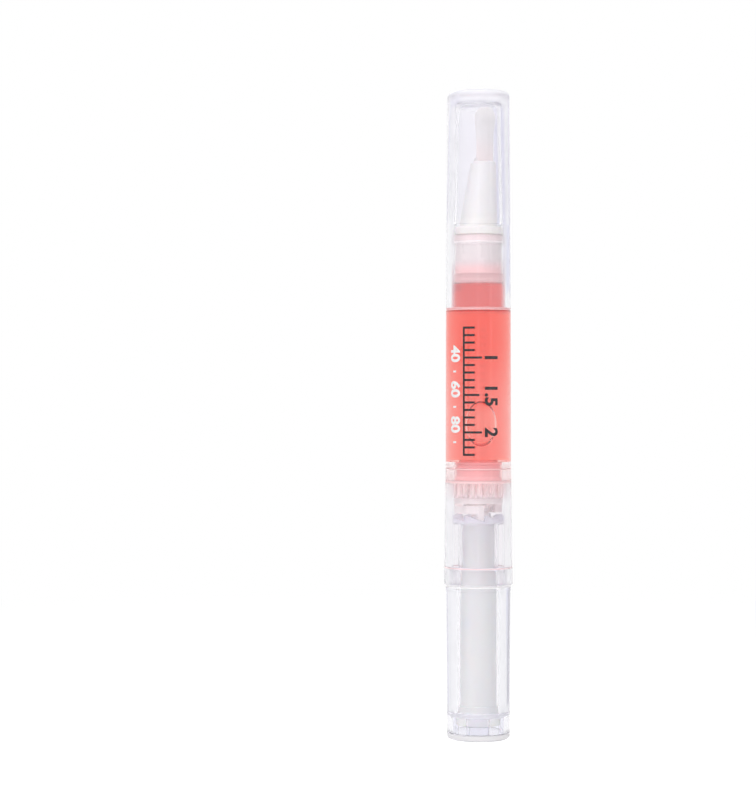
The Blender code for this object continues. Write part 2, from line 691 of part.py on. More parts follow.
def make_screw_rod():
    """Threaded rod with two flats and a head that snaps into the piston."""
    core = ROD_ROOT_DIAMETER / 2
    foot_rows = [(core - ROD_END_CHAMFER, rod_foot), (core, rod_foot + ROD_END_CHAMFER)]
    body = threaded(
        "screw_rod", rod_angles, 0.0, rod_thread_foot, rod_thread_top, foot_rows, (core, rod_top),
    )
    neck = ROD_NECK_DIAMETER / 2
    head = ROD_HEAD_DIAMETER / 2
    head_foot = rod_top + ROD_NECK_HEIGHT
    head_top = head_foot + ROD_HEAD_HEIGHT
    combine(body, turned("head", [
        (0.0, rod_top - EMBED), (neck, rod_top - EMBED), (neck, head_foot), (head, head_foot),
        (head, head_foot + ROD_HEAD_LAND), (ROD_HEAD_TIP_DIAMETER / 2, head_top), (0.0, head_top),
    ], SMALL_SIDES), "UNION")
    return dress(body, WHITE)


def make_piston():
    """Translucent plunger with three sealing lips and a socket for the rod's head."""
    waist = PISTON_WAIST_DIAMETER / 2
    skirt = waist - PISTON_SKIRT_WALL
    socket_top = rod_top + ROD_NECK_HEIGHT + ROD_HEAD_HEIGHT + SEAT_GAP
    catch_foot = rod_top + ROD_NECK_HEIGHT - SEAT_GAP
    catch = ROD_NECK_DIAMETER / 2 + RUNNING_FIT
    boss = rod_head_socket + SOCKET_WALL
    boss_foot = rod_top + ROD_NECK_HEIGHT / 2
    roof = piston_foot + PISTON_SKIRT_DEPTH
    foot_lip_top = piston_foot + PISTON_END_LIP
    middle_lip = piston_top - MIDDLE_LIP_DROP
    middle_land = middle_lip + PISTON_LIP_SLANT
    top_land = piston_top - TOP_LIP_DROP + PISTON_LIP_SLANT
    body = turned("piston", [
        (0.0, socket_top), (rod_head_socket, socket_top), (rod_head_socket, catch_foot),
        (catch, catch_foot), (catch, boss_foot), (boss, boss_foot), (boss, roof), (skirt, roof),
        (skirt, piston_foot), (piston_radius, piston_foot), (piston_radius, foot_lip_top),
        (waist, foot_lip_top + PISTON_END_LIP), (waist, middle_lip), (piston_radius, middle_land),
        (piston_radius, middle_land + PISTON_LIP_LAND),
        (waist, middle_land + PISTON_LIP_LAND + PISTON_LIP_SLANT),
        (waist, piston_top - TOP_LIP_DROP), (piston_radius, top_land),
        (piston_radius, top_land + PISTON_END_LIP), (PISTON_CROWN_DIAMETER / 2, top_land + PISTON_END_LIP),
        (PISTON_CROWN_DIAMETER / 2, piston_top, EDGE_ROUNDING), (0.0, piston_top),
    ], MEDIUM_SIDES)
    return dress(body, FROSTED)


def make_oil():
    """The filling, from the piston up to its level."""
    low = piston_top + OIL_GAP
    body = turned("cuticle_oil", [
        (0.0, low), (piston_radius, low), (piston_radius, oil_top), (0.0, oil_top),
    ], MEDIUM_SIDES)
    return dress(body, OIL)


def make_neck_plug():
    """Translucent plug in the neck, which holds the nozzle's stem and the capillary."""
    radius = NECK_BORE_DIAMETER / 2 - PRESS_FIT
    stem = NOZZLE_STEM_DIAMETER / 2 + PRESS_FIT
    floor = nozzle_foot - SEAT_GAP
    body = turned("neck_plug", [
        (capillary_hole, floor), (stem, floor), (stem, neck_top), (radius, neck_top, EDGE_ROUNDING),
        (radius, plug_foot, EDGE_BREAK), (radius - PLUG_SKIRT_WALL, plug_foot),
        (radius - PLUG_SKIRT_WALL, plug_body_foot), (capillary_hole, floor - PLUG_FLOOR),
    ], MEDIUM_SIDES)
    return dress(body, FROSTED)


def make_nozzle():
    """White cone that holds the tuft, seated by its flange on the neck."""
    flange = NOZZLE_FLANGE_DIAMETER / 2
    cone_foot = nozzle_seat + NOZZLE_FLANGE_HEIGHT
    tuft_bore = TUFT_ROOT_DIAMETER / 2 + PRESS_FIT
    core = NOZZLE_CORE_DIAMETER / 2
    web_top = tuft_root_foot - SEAT_GAP
    web_foot = web_top - NOZZLE_WEB
    stem = NOZZLE_STEM_DIAMETER / 2
    body = turned("brush_nozzle", [
        (core, nozzle_foot), (stem, nozzle_foot, EDGE_ROUNDING), (stem, nozzle_seat),
        (flange, nozzle_seat, EDGE_ROUNDING), (flange, cone_foot, STEP_ROUNDING),
        (NOZZLE_BASE_DIAMETER / 2, cone_foot),
        (NOZZLE_TOP_DIAMETER / 2, nozzle_top, NOZZLE_RIM_ROUNDING), (tuft_bore, nozzle_top),
        (tuft_bore, web_top), (capillary_hole, web_top), (capillary_hole, web_foot), (core, web_foot),
    ], MEDIUM_SIDES)
    return dress(body, WHITE)


def make_feed_tube():
    """Capillary that carries the oil into the middle of the tuft."""
    radius = CAPILLARY_DIAMETER / 2
    bore = CAPILLARY_BORE / 2
    foot = plug_foot - CAPILLARY_DIP
    top = nozzle_top + CAPILLARY_REACH
    body = turned("feed_tube", [
        (bore, foot), (radius, foot), (radius, top), (bore, top),
    ], SMALL_SIDES)
    return dress(body, FROSTED)


def bristles(root_inner, root_outer):
    """Tapered three-sided strands from a ring at the root to a dome at the tip."""
    mesh_data = bmesh.new()
    golden = math.pi * (3.0 - math.sqrt(5.0))
    belly = TUFT_BELLY_DIAMETER / 2
    for strand in range(BRISTLE_COUNT):
        share = (strand + 0.5) / BRISTLE_COUNT
        root_radius = math.sqrt(root_inner ** 2 + share * (root_outer ** 2 - root_inner ** 2))
        across = (root_radius - root_inner) / (root_outer - root_inner)
        tip_radius = TUFT_EYE + across * (belly - TUFT_EYE)
        height = TUFT_LENGTH - TUFT_DOME * (tip_radius / belly) ** 2
        root = polar(root_radius, strand * golden, nozzle_top - EMBED)
        tip = polar(tip_radius, strand * golden, nozzle_top + height)
        tip.x += TUFT_LEAN * height / TUFT_LENGTH
        along = tip - root
        turn = Vector((0, 0, 1)).rotation_difference(along).to_matrix().to_4x4()
        bmesh.ops.create_cone(
            mesh_data, cap_ends=True, segments=3, radius1=BRISTLE_ROOT_RADIUS,
            radius2=BRISTLE_TIP_RADIUS, depth=along.length,
            matrix=Matrix.Translation((root + tip) / 2) @ turn,
        )
    return to_object("bristles", mesh_data)


def make_tuft():
    """Bristles fused to the slice of their root that is glued into the nozzle."""
    radius = TUFT_ROOT_DIAMETER / 2
    body = turned("brush_tuft", [
        (capillary_hole, tuft_root_foot), (radius, tuft_root_foot), (radius, nozzle_top),
        (capillary_hole, nozzle_top),
    ], SMALL_SIDES)
    inner = capillary_hole + 2 * BRISTLE_ROOT_RADIUS
    outer = radius - 2 * BRISTLE_ROOT_RADIUS
    combine(body, bristles(inner, outer), "UNION")
    return dress(body, BRISTLE)


def make_cap():
    """Clear thick-walled cap: narrow bore round the brush, wider mouth over the neck."""
    bore_foot = cap_mouth + CAP_MOUTH_DEPTH
    ceiling = cap_top - CAP_TOP_WALL
    mouth = CAP_MOUTH_BORE / 2
    body = turned("cap_shell", [
        (0.0, cap_top), (CAP_TOP_DIAMETER / 2, cap_top, CAP_TOP_ROUNDING),
        (CAP_MOUTH_DIAMETER / 2, cap_mouth, EDGE_ROUNDING), (mouth, cap_mouth), (mouth, bore_foot),
        (CAP_BORE_FOOT_DIAMETER / 2, bore_foot, STEP_ROUNDING),
        (CAP_BORE_TOP_DIAMETER / 2, ceiling, CAP_BORE_ROUNDING), (0.0, ceiling),
    ], LARGE_SIDES)
    return dress(body, CLEAR)


clear_scene()
make_end_plug()
make_drive_tube()
make_knob()
make_barrel()
make_guide_nut()
make_click_ring()
make_screw_rod()
make_piston()
make_oil()
make_neck_plug()
make_nozzle()
make_feed_tube()
make_tuft()
make_cap()
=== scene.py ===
"""A twist-up brush pen for nail oil, dressed on its packed model.

Finer meshes stand for the clear shells, the tubes, the plunger, the oil and the brush. The screw rod, the
nut and the click ring keep their meshes and get their plastics. Metres, +Z up, the base at the origin.
"""
import json
import math

import bmesh
import bpy
from mathutils import Matrix, Vector

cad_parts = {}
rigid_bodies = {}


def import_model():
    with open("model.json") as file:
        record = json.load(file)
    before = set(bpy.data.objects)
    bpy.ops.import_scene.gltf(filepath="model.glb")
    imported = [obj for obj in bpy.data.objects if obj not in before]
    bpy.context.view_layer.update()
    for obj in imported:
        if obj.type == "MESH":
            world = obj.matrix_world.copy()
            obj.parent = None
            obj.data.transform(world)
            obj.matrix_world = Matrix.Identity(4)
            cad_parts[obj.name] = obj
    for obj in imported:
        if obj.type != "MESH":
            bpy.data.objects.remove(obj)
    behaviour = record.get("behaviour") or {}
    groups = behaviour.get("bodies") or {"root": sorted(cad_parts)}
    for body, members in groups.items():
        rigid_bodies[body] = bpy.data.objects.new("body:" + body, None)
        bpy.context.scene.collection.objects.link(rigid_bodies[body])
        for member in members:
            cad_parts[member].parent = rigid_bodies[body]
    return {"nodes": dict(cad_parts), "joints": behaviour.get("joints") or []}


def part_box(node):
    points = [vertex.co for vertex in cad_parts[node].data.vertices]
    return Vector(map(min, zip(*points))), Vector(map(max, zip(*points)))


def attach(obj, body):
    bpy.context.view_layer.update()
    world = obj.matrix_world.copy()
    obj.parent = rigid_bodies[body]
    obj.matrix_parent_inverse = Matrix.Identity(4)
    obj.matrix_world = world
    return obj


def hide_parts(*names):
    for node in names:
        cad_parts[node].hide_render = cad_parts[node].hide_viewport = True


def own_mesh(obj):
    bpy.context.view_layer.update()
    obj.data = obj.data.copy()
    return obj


bl_info = {
    "name": "Twist-Up Brush Pen",
    "version": (1, 0, 0),
    "blender": (4, 5, 0),
    "location": "View3D > Sidebar > Brush Pen",
    "description": "Clear shells, feed mechanism, oil, brush and printed scale of a twist-up brush pen",
    "category": "Object",
}

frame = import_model()


def foot(node):
    """Lowest height of a packed node."""
    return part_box(node)[0].z


def top(node):
    """Highest height of a packed node."""
    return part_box(node)[1].z


def length(name, description, default):
    """A length that can be set, in metres."""
    return bpy.props.FloatProperty(
        name=name, description=description, default=default, min=0.0, precision=5, unit="LENGTH",
    )


def tint(name, description, default):
    """A colour that can be set."""
    return bpy.props.FloatVectorProperty(
        name=name, description=description, default=default, min=0.0, max=1.0, size=3, subtype="COLOR",
    )


class CapSizes(bpy.types.PropertyGroup):
    """Sizes of the clear cap."""

    top_width: length("Top width", "Across the cap's closed end", 0.0121)
    mouth_width: length("Mouth width", "Across the cap's open end", 0.0127)
    top_rounding: length("Top rounding", "Of the closed end's outer edge", 0.0010)
    top_wall: length("Top wall", "Thickness of the closed end", 0.0019)
    bore_top: length("Bore at top", "Across the narrow bore round the brush, at its top", 0.0074)
    bore_foot: length("Bore at foot", "Across the narrow bore at its foot", 0.0086)
    bore_rounding: length("Bore rounding", "Of the bore's upper corner", 0.0017)
    mouth_bore: length("Mouth bore", "Across the bore that takes the neck", 0.0107)
    mouth_depth: length("Mouth depth", "Of the bore that takes the neck", 0.0164)


class BarrelSizes(bpy.types.PropertyGroup):
    """Sizes of the clear barrel."""

    shoulder_width: length("Shoulder width", "Across the barrel's upper end", 0.01266)
    body_height: length("Body height", "From the rim to the shoulder", 0.0537)
    waist_width: length("Waist width", "Across the barrel over the mechanism", 0.0128)
    waist_height: length("Waist height", "From the rim", 0.0222)
    skirt_top_width: length("Skirt top width", "Across the top of the wider skirt", 0.01295)
    skirt_top_height: length("Skirt top height", "From the rim", 0.0184)
    skirt_middle_width: length("Skirt middle width", "Across the middle of the skirt", 0.0132)
    skirt_middle_height: length("Skirt middle height", "From the rim", 0.0070)
    rim_width: length("Rim width", "Across the skirt's rim", 0.01335)
    skirt_bore: length("Skirt bore", "Across the bore round the mechanism", 0.0108)
    skirt_depth: length("Skirt depth", "Of that bore, from the rim", 0.0202)
    mouth_bore: length("Mouth bore", "Across the skirt's mouth", 0.0114)
    mouth_depth: length("Mouth depth", "Of the skirt's mouth", 0.0035)
    reservoir_width: length("Reservoir width", "Across the reservoir's bore", 0.0094)
    neck_width: length("Neck width", "Across the neck under the cap", 0.01045)
    neck_bore: length("Neck bore", "Across the neck's bore", 0.0092)


class FeedSizes(bpy.types.PropertyGroup):
    """Sizes of the turning end and the feed mechanism."""

    knob_foot_width: length("Knob foot width", "Across the turning end at its foot", 0.0122)
    knob_top_width: length("Knob top width", "Across the turning end under its band", 0.01252)
    knob_band_width: length("Knob band width", "Across the band at the knob's top", 0.01266)
    knob_bore: length("Knob bore", "Across the bore round the drive tube", 0.00732)
    tube_width: length("Tube width", "Across the drive tube", 0.0070)
    tube_flange_width: length("Tube flange width", "Across the drive tube's foot", 0.0088)
    tube_nose_width: length("Tube nose width", "Across the drive tube in the spigot", 0.00625)
    rod_width: length("Rod width", "Across the screw rod's thread", 0.0044)
    rod_across_flats: length("Rod across flats", "Between the screw rod's flats", 0.0030)


class BrushSizes(bpy.types.PropertyGroup):
    """Sizes of the nozzle and the brush."""

    flange_width: length("Flange width", "Across the nozzle's flange", 0.0100)
    flange_height: length("Flange height", "Of the nozzle's flange", 0.0016)
    cone_foot_width: length("Cone foot width", "Across the nozzle's cone at its foot", 0.0075)
    cone_top_width: length("Cone top width", "Across the nozzle's cone at its rim", 0.0049)
    root_width: length("Root width", "Across the tuft at the nozzle's rim", 0.0034)
    waist_width: length("Waist width", "Across the tuft at its narrowest", 0.0034)
    belly_width: length("Belly width", "Across the tuft at its widest", 0.0044)
    nozzle_lean: length("Nozzle lean", "How far the cone's rim stands out of line", 0.0010)
    root_shift: length("Root shift", "How far the tuft stands off the rim's middle", 0.00025)
    lean: length("Lean", "How far the tuft's tip leans further", 0.00005)
    strands: bpy.props.IntProperty(name="Strands", description="Bristles in the tuft", default=1200, min=1)


class PenColours(bpy.types.PropertyGroup):
    """Colours of the pen's materials."""

    cap: tint("Cap", "Tint of the clear cap", (0.992, 0.988, 0.996))
    haze: tint("Haze", "Bluish veil in the clear plastics", (0.90, 0.885, 0.985))
    # Painted shade: a darker copy of the veil, round the brush.
    cap_haze: tint("Cap haze", "Bluish veil in the cap round the brush", (0.83, 0.81, 0.95))
    cap_top_haze: tint("Cap top haze", "Pale veil in the cap's closed end", (0.96, 0.95, 1.0))
    pink_haze: tint("Pink haze", "Veil of oil on the barrel's wall", (1.0, 0.75, 0.77))
    pale_haze: tint("Pale haze", "Faint veil of oil under the nozzle", (0.99, 0.86, 0.88))
    barrel: tint("Barrel", "Tint of the clear barrel", (0.988, 0.976, 0.988))
    barrel_wet: tint("Barrel round the oil", "Tint of the barrel where oil fills it", (0.998, 0.985, 0.985))
    barrel_stain: tint("Stained barrel", "Tint of the barrel round the plunger", (0.985, 0.860, 0.860))
    neck_stain: tint("Stained neck", "Tint of the neck above the oil", (1.0, 0.950, 0.950))
    knob: tint("Knob", "Tint of the clear turning end", (0.980, 0.978, 1.0))
    knob_foot: tint("Knob foot", "Tint of the turning end round its disc", (0.970, 0.968, 1.0))
    knob_collar: tint("Knob collar", "Tint of the turning end inside the skirt", (0.99, 0.985, 0.995))
    # The oil's tints change by height alone: deeper towards the top, darkest in the neck.
    oil: tint("Oil", "Tint of a thin layer of oil", (0.995, 0.75, 0.71))
    oil_top: tint("Oil at the top", "Tint of a thin layer of oil under the shoulder", (0.985, 0.475, 0.405))
    neck_oil: tint("Oil in the neck", "Tint of a thin layer of oil in the neck", (0.84, 0.37, 0.36))
    oil_depth: tint("Oil depth", "Colour that a deep layer of oil takes", (0.990, 0.169, 0.090))
    white: tint("White", "Moulded white of the nozzle", (0.78, 0.765, 0.735))
    # Painted light: the flange's white is lighter to lift the shade on the flange.
    white_flange: tint("White flange", "Moulded white of the nozzle's flange", (0.83, 0.815, 0.80))
    milky: tint("Milky", "Moulded white of the drive tube", (0.770, 0.768, 0.752))
    # Partly the foot's warmer white, partly painted light that lifts the shade on the tube's foot.
    milky_foot: tint("Milky foot", "Moulded white of the drive tube's foot", (0.92, 0.92, 0.89))
    natural: tint("Natural", "Translucent natural plastic", (0.92, 0.875, 0.88))
    wet_natural: tint("Wetted plastic", "Natural plastic stained by oil", (1.0, 0.69, 0.69))
    bristle: tint("Bristle", "Nylon strands", (0.97, 0.96, 0.945))
    wet_bristle: tint("Wetted bristle", "Nylon strands stained by oil", (0.96, 0.875, 0.85))
    black_ink: tint("Black ink", "Scale printed on the barrel", (0.012, 0.010, 0.014))
    white_ink: tint("White ink", "Fine marks printed on the barrel", (0.93, 0.92, 0.93))


class StudioSettings(bpy.types.PropertyGroup):
    """The camera, the floor and the lamps."""

    distance: length("Distance", "From the camera to the pen's axis", 0.403)
    height: length("Height", "Of the camera above the floor", 0.0664)
    aside: length("Aside", "How far the pen stands right of the camera's axis", 0.0196)
    view_height: length("View height", "Height that the camera sees at the pen's axis", 0.1553)
    floor: tint("Floor", "Colour of the floor", (0.92, 0.92, 0.92))
    sky: bpy.props.FloatProperty(name="Sky", description="Soft light from all round", default=0.56, min=0.0)
    lamp: bpy.props.FloatProperty(
        name="Lamp", description="Power of the main lamp", default=2.0, min=0.0, unit="POWER",
    )


GROUPS = {
    "pen_cap": CapSizes, "pen_barrel": BarrelSizes, "pen_feed": FeedSizes, "pen_brush": BrushSizes,
    "pen_colours": PenColours, "pen_studio": StudioSettings,
}
SIDES = 256
EDGE = 0.0001           # rounding of a crisp moulded edge
SOFT = 0.0002           # rounding of a softer one
SEAT = 0.00005          # between pieces that rest on each other
RUNNING = 0.0001        # between pieces that turn in each other
SUPPORT = 0.0001        # from a wall's end to the ring that keeps its shading flat
WET = 0.00002           # how far the oil runs into the walls that it wets
COLLAR = 0.00335        # how far the turning end's collar stands in the skirt
RAMP_LENGTH = 0.126     # height at which a ramp that follows the pen ends
PLASTIC_IOR = 1.49
SKIN_START = 0.0055     # radius from which a clear wall's outer skin begins
SKIN_END = 0.0059       # radius from which a surface is all outer skin
# Paler veil of the outer skin, as painted light.
PAINTED_LIGHT_SKIN_SHADE = (0.94, 0.93, 1.0)
SLANT_SPAN = 0.13       # over how much more slant the skin's haze reaches its share
HIGHLIGHT_LINE_SHARE = 0.75        # share of haze in a painted highlight line
RIDGES = 36             # round the skirt's bore, where the nut sits
WHITE = (1.0, 1.0, 1.0)
# Shade of the pale painted highlight lines.
PALE_HIGHLIGHT = (1.0, 0.98, 1.0)


class Value:
    """An output in a node tree. Sums on it add Math nodes."""

    def __init__(self, finish, socket):
        self.finish = finish
        self.socket = socket

    def __getitem__(self, name):
        """Another output of the same node."""
        return Value(self.finish, self.socket.node.outputs[name])

    def __add__(self, other):
        return self.finish.maths("ADD", self, other)

    __radd__ = __add__

    def __sub__(self, other):
        return self.finish.maths("SUBTRACT", self, other)

    def __rsub__(self, other):
        return self.finish.maths("SUBTRACT", other, self)

    def __mul__(self, other):
        return self.finish.maths("MULTIPLY", self, other)

    __rmul__ = __mul__

    def __truediv__(self, other):
        return self.finish.maths("DIVIDE", self, other)

    def at_most(self, limit):
        """This value, no higher than a limit."""
        return self.finish.maths("MINIMUM", self, limit)

    def at_least(self, other):
        """The higher of this value and another."""
        return self.finish.maths("MAXIMUM", self, other)

    def step(self, start, end):
        """A smooth rise from 0 at start to 1 at end."""
        return self.finish.node(
            "ShaderNodeMapRange", {"interpolation_type": "SMOOTHSTEP"},
            {"Value": self, "From Min": start, "From Max": end},
        )


class Finish:
    """The node tree of one material or of the world."""

    def __init__(self, owner):
        owner.use_nodes = True
        self.owner = owner
        self.tree = owner.node_tree
        self.tree.nodes.clear()

    def node(self, kind, settings=None, sockets=None):
        """Adds a node with these settings, sets or links its sockets, and gives its first output."""
        made = self.tree.nodes.new(kind)
        for name, setting in (settings or {}).items():
            if name == "stops":
                ramp = made.color_ramp.elements
                ramp.remove(ramp[1])
                for stop, (place, shade) in enumerate(setting):
                    element = ramp.new(place) if stop else ramp[0]
                    element.position = place
                    element.color = (*shade, 1.0)
            else:
                setattr(made, name, setting)
        for name, given in (sockets or {}).items():
            socket = made.inputs[name]
            if isinstance(given, Value):
                self.tree.links.new(given.socket, socket)
            elif socket.type == "RGBA":
                socket.default_value = (*given[:3], 1.0)
            else:
                socket.default_value = given
        return Value(self, made.outputs[0]) if made.outputs else None

    def maths(self, operation, first, second=0.0):
        """The result of a Math node."""
        return self.node("ShaderNodeMath", {"operation": operation}, {0: first, 1: second})

    def position(self):
        """The three object coordinates. The last is the height above the pen's base."""
        parts = self.node("ShaderNodeSeparateXYZ", {}, {"Vector": self.node("ShaderNodeTexCoord")["Object"]})
        return parts["X"], parts["Y"], parts["Z"]

    def ramp(self, share, stops):
        """A colour that follows a share of the ramp's length through (height, shade) stops."""
        places = [(height / RAMP_LENGTH, shade) for height, shade in stops]
        return self.node("ShaderNodeValToRGB", {"stops": places}, {0: share})

    def noise(self, scale, along=1.0, detail=3.0):
        """Noise of a scale per metre, as a value about one half. A low along draws it out along the pen."""
        coordinates = self.node("ShaderNodeTexCoord")["Object"]
        place = self.node("ShaderNodeMapping", {}, {"Vector": coordinates, "Scale": (1.0, 1.0, along)})
        return self.node("ShaderNodeTexNoise", {}, {"Vector": place, "Scale": scale, "Detail": detail})

    def mix(self, share, first, second):
        """A colour between two colours."""
        return self.node("ShaderNodeMix", {"data_type": "RGBA"}, {0: share, 6: first, 7: second})[2]

    def bump(self, height, strength, distance):
        """A normal that follows a height."""
        return self.node("ShaderNodeBump", {}, {"Strength": strength, "Distance": distance, "Height": height})

    def plastic(self, **sockets):
        """A Principled shader. Each socket is named with _ for a space."""
        sockets = {"IOR": PLASTIC_IOR} | {name.replace("_", " "): given for name, given in sockets.items()}
        return self.node("ShaderNodeBsdfPrincipled", {}, sockets)

    def glow(self, shade=WHITE, strength=1.0):
        """A shader that gives off light."""
        return self.node("ShaderNodeEmission", {}, {"Color": shade, "Strength": strength})

    def blend(self, share, first, second):
        """A shader between two shaders."""
        return self.node("ShaderNodeMixShader", {}, {0: share, 1: first, 2: second})

    def for_lamps(self, shader, shade):
        """The shader, made see-through for the lamps' shadow rays alone."""
        clear = self.node("ShaderNodeBsdfTransparent", {}, {"Color": shade})
        return self.blend(self.node("ShaderNodeLightPath")["Is Shadow Ray"], shader, clear)

    def done(self, shader, volume=None):
        """Joins a shader to the tree's output, and gives the material."""
        sockets = {"Surface": shader} if volume is None else {"Surface": shader, "Volume": volume}
        self.node("ShaderNodeOutputMaterial", {}, sockets)
        return self.owner


def new_finish(name):
    """The node tree of a new material."""
    return Finish(bpy.data.materials.new(name))


def dimmed(shade, share):
    """A shade with each channel taken down to a share."""
    return tuple(channel * share for channel in shade)


def clear_plastic(name, tints, hazes, highlight_lines=(), knurl=None, slant_start=0.25):
    """Clear moulded styrene with a soft haze that gathers the light.

    The tints are (height, shade) and the hazes (height, shade, share, share at a slant), from the foot of
    the piece up. The last is for the outer skin, whose haze thickens at a slant and takes a paler shade
    there, as painted light. Without it, the share is the same at a slant.
    The highlight lines are (height, shade, half their width): painted highlights, thin bands of bright
    haze at edges, rims and steps, some pink. A radius keeps one inside it.
    The knurl is (foot, top, radius): painted ribs inside that radius, stripes of haze for their light
    and shade, with a painted highlight at their feet.
    """
    finish = new_finish(name)
    cloud = finish.noise(160.0, 0.5, 4.0)
    across, along, height = finish.position()
    share = height / RAMP_LENGTH
    tinted = finish.ramp(share, tints)
    veil = finish.ramp(share, [stop[:2] for stop in hazes])
    shares = finish.node("ShaderNodeSeparateColor", {}, {"Color": finish.ramp(share, [
        (stop[0], (stop[2], stop[-1], float(stop[-1] > stop[2]))) for stop in hazes
    ])})
    radius = finish.maths("SQRT", across * across + along * along)
    slant = finish.node("ShaderNodeLayerWeight", {}, {"Blend": 0.5})["Facing"]
    skin = radius.step(SKIN_START, SKIN_END)
    slanted = skin * slant.step(slant_start, slant_start + SLANT_SPAN)
    thickness = shares["Red"] + slanted * (shares["Green"] - shares["Red"])
    hazed = thickness * (0.9 + 0.2 * cloud)
    # Painted light: a paler veil on the outer skin brightens the walls.
    veil = finish.mix(skin * shares["Blue"], veil, PAINTED_LIGHT_SKIN_SHADE)
    # Painted highlights: bands of bright haze in the line's shade, laid over the veil at each height.
    for highlight_height, highlight_shade, half, *limit in highlight_lines:
        line = 1.0 - finish.maths("ABSOLUTE", height - highlight_height).step(0.5 * half, half)
        if limit:
            line = line * (1.0 - radius.step(limit[0], limit[0] + 0.0001))
        hazed = hazed.at_least(HIGHLIGHT_LINE_SHARE * line)
        veil = finish.mix(line, veil, highlight_shade)
    smears = 0.012 * cloud.step(0.55, 0.8)
    glass = finish.plastic(Base_Color=tinted, Roughness=smears, Transmission_Weight=1.0)
    haze = finish.plastic(Base_Color=veil, Roughness=0.3 + 0.2 * cloud)
    if knurl is not None:
        low, high, wall = knurl
        # Painted light and shade of ribs on the smooth bore, and a painted highlight at their feet.
        ridge = finish.maths("SINE", finish.maths("ARCTAN2", along, across) * RIDGES).step(-0.4, 0.7)
        inside = 1.0 - radius.step(wall, wall + 0.0002)
        zone = height.step(low - 0.0001, low + 0.0001) * (1.0 - height.step(high - 0.0001, high + 0.0001))
        painted_foot_highlight = 0.6 - 0.35 * height.step(low + 0.0002, low + 0.0009)
        hazed = hazed.at_least(inside * zone * (0.05 + ridge * painted_foot_highlight))
    return finish.done(finish.for_lamps(finish.blend(hazed, glass, haze), (0.99, 0.985, 0.99)))


def ribbed_plastic(name, shade, painted_groove_shade, crest_radius):
    """Clear plastic with painted light on its rib crests and painted pink shade in the grooves."""
    finish = new_finish(name)
    across, along, _ = finish.position()
    radius = finish.maths("SQRT", across * across + along * along)
    # Painted highlight on the crests, painted shade in the grooves between them.
    crest_highlight = radius.step(crest_radius - 0.00021, crest_radius - 0.00004)
    cloud = finish.noise(900.0)
    glass = finish.plastic(Base_Color=shade, Roughness=0.08 + 0.1 * cloud, Transmission_Weight=1.0)
    haze = finish.plastic(Base_Color=finish.mix(crest_highlight, painted_groove_shade, shade), Roughness=0.25 + 0.2 * cloud)
    return finish.done(finish.for_lamps(finish.blend(0.25 + 0.3 * crest_highlight, glass, haze), (0.95, 0.9, 0.9)))


def natural_plastic(name, shade, clearness, roughness, wet_from=None, wet_to=None, wet_shade=None):
    """Natural polypropylene: cloudy, satin, and stained where the oil wets it."""
    finish = new_finish(name)
    cloud = finish.noise(420.0, 0.4, 4.0)
    base = finish.mix(cloud.step(0.35, 0.7), shade, dimmed(shade, 0.94))
    if wet_shade is not None:
        base = finish.mix(finish.position()[2].step(wet_from, wet_to), wet_shade, base)
    shader = finish.plastic(
        Base_Color=base, Roughness=roughness + 0.12 * cloud, Transmission_Weight=clearness,
        Normal=finish.bump(finish.noise(2600.0), 0.25, 0.00002),
    )
    return finish.done(finish.for_lamps(shader, shade))


def moulded_white(name, shade, roughness, foot_painted_light=None, foot_top=0.0):
    """Opaque moulded white with a fine satin grain; a lighter foot white, where given, is painted light."""
    finish = new_finish(name)
    cloud = finish.noise(240.0, 0.35, 4.0)
    cooler = (shade[0] * 0.955, shade[1] * 0.96, shade[2] * 0.985)
    base = finish.mix(cloud.step(0.35, 0.7), shade, cooler)
    if foot_painted_light is not None:
        # Painted light: the lighter foot white lifts the shade on the part's lower end.
        base = finish.mix(finish.position()[2].step(foot_top - 0.0001, foot_top + 0.0001), foot_painted_light, base)
    return finish.done(finish.plastic(
        Base_Color=base, Roughness=roughness + 0.14 * cloud, Subsurface_Weight=0.15, Subsurface_Scale=0.0006,
        Normal=finish.bump(finish.noise(2200.0), 0.2, 0.00002),
    ))


def oil_finish(name, shades, depth, density):
    """Clear coral oil that deepens with its thickness, tinted by (height, shade) stops."""
    finish = new_finish(name)
    drift = finish.noise(220.0, 0.3, 2.0)
    drifted_height = finish.position()[2] + 0.004 * (drift - 0.5)
    shader = finish.plastic(
        Base_Color=finish.ramp(drifted_height / RAMP_LENGTH, shades), Roughness=0.008 + 0.012 * drift, IOR=1.47,
        Transmission_Weight=1.0,
    )
    volume = finish.node("ShaderNodeVolumeAbsorption", {}, {"Color": depth, "Density": density})
    return finish.done(finish.for_lamps(shader, shades[0][1]), volume)


def bristle_finish(name, shade, wet_shade, wet_from, wet_to):
    """Nylon strands, stained in streaks by the oil at their roots."""
    finish = new_finish(name)
    streaks = finish.noise(1500.0, 0.05)
    dry = (finish.position()[2] + 0.006 * (streaks - 0.5)).step(wet_from, wet_to)
    pale = finish.mix(streaks.step(0.3, 0.7), shade, dimmed(shade, 0.95))
    strand = finish.plastic(
        Base_Color=finish.mix(dry, wet_shade, pale), Roughness=0.35 + 0.25 * dry, Sheen_Weight=0.3, IOR=1.5,
    )
    glow = finish.node("ShaderNodeBsdfTranslucent", {}, {"Color": shade})
    return finish.done(finish.blend(0.25, strand, glow))


def ink_finish(name, shade):
    """Glossy screen-printed ink with a thin, slightly uneven film."""
    finish = new_finish(name)
    film = finish.noise(1800.0, 1.0, 4.0)
    lighter = tuple(min(1.0, channel + 0.03) for channel in shade)
    return finish.done(finish.plastic(
        Base_Color=finish.mix(film.step(0.4, 0.75), shade, lighter), Roughness=0.12 + 0.16 * film, IOR=1.5,
        Normal=finish.bump(film, 0.2, 0.00001),
    ))


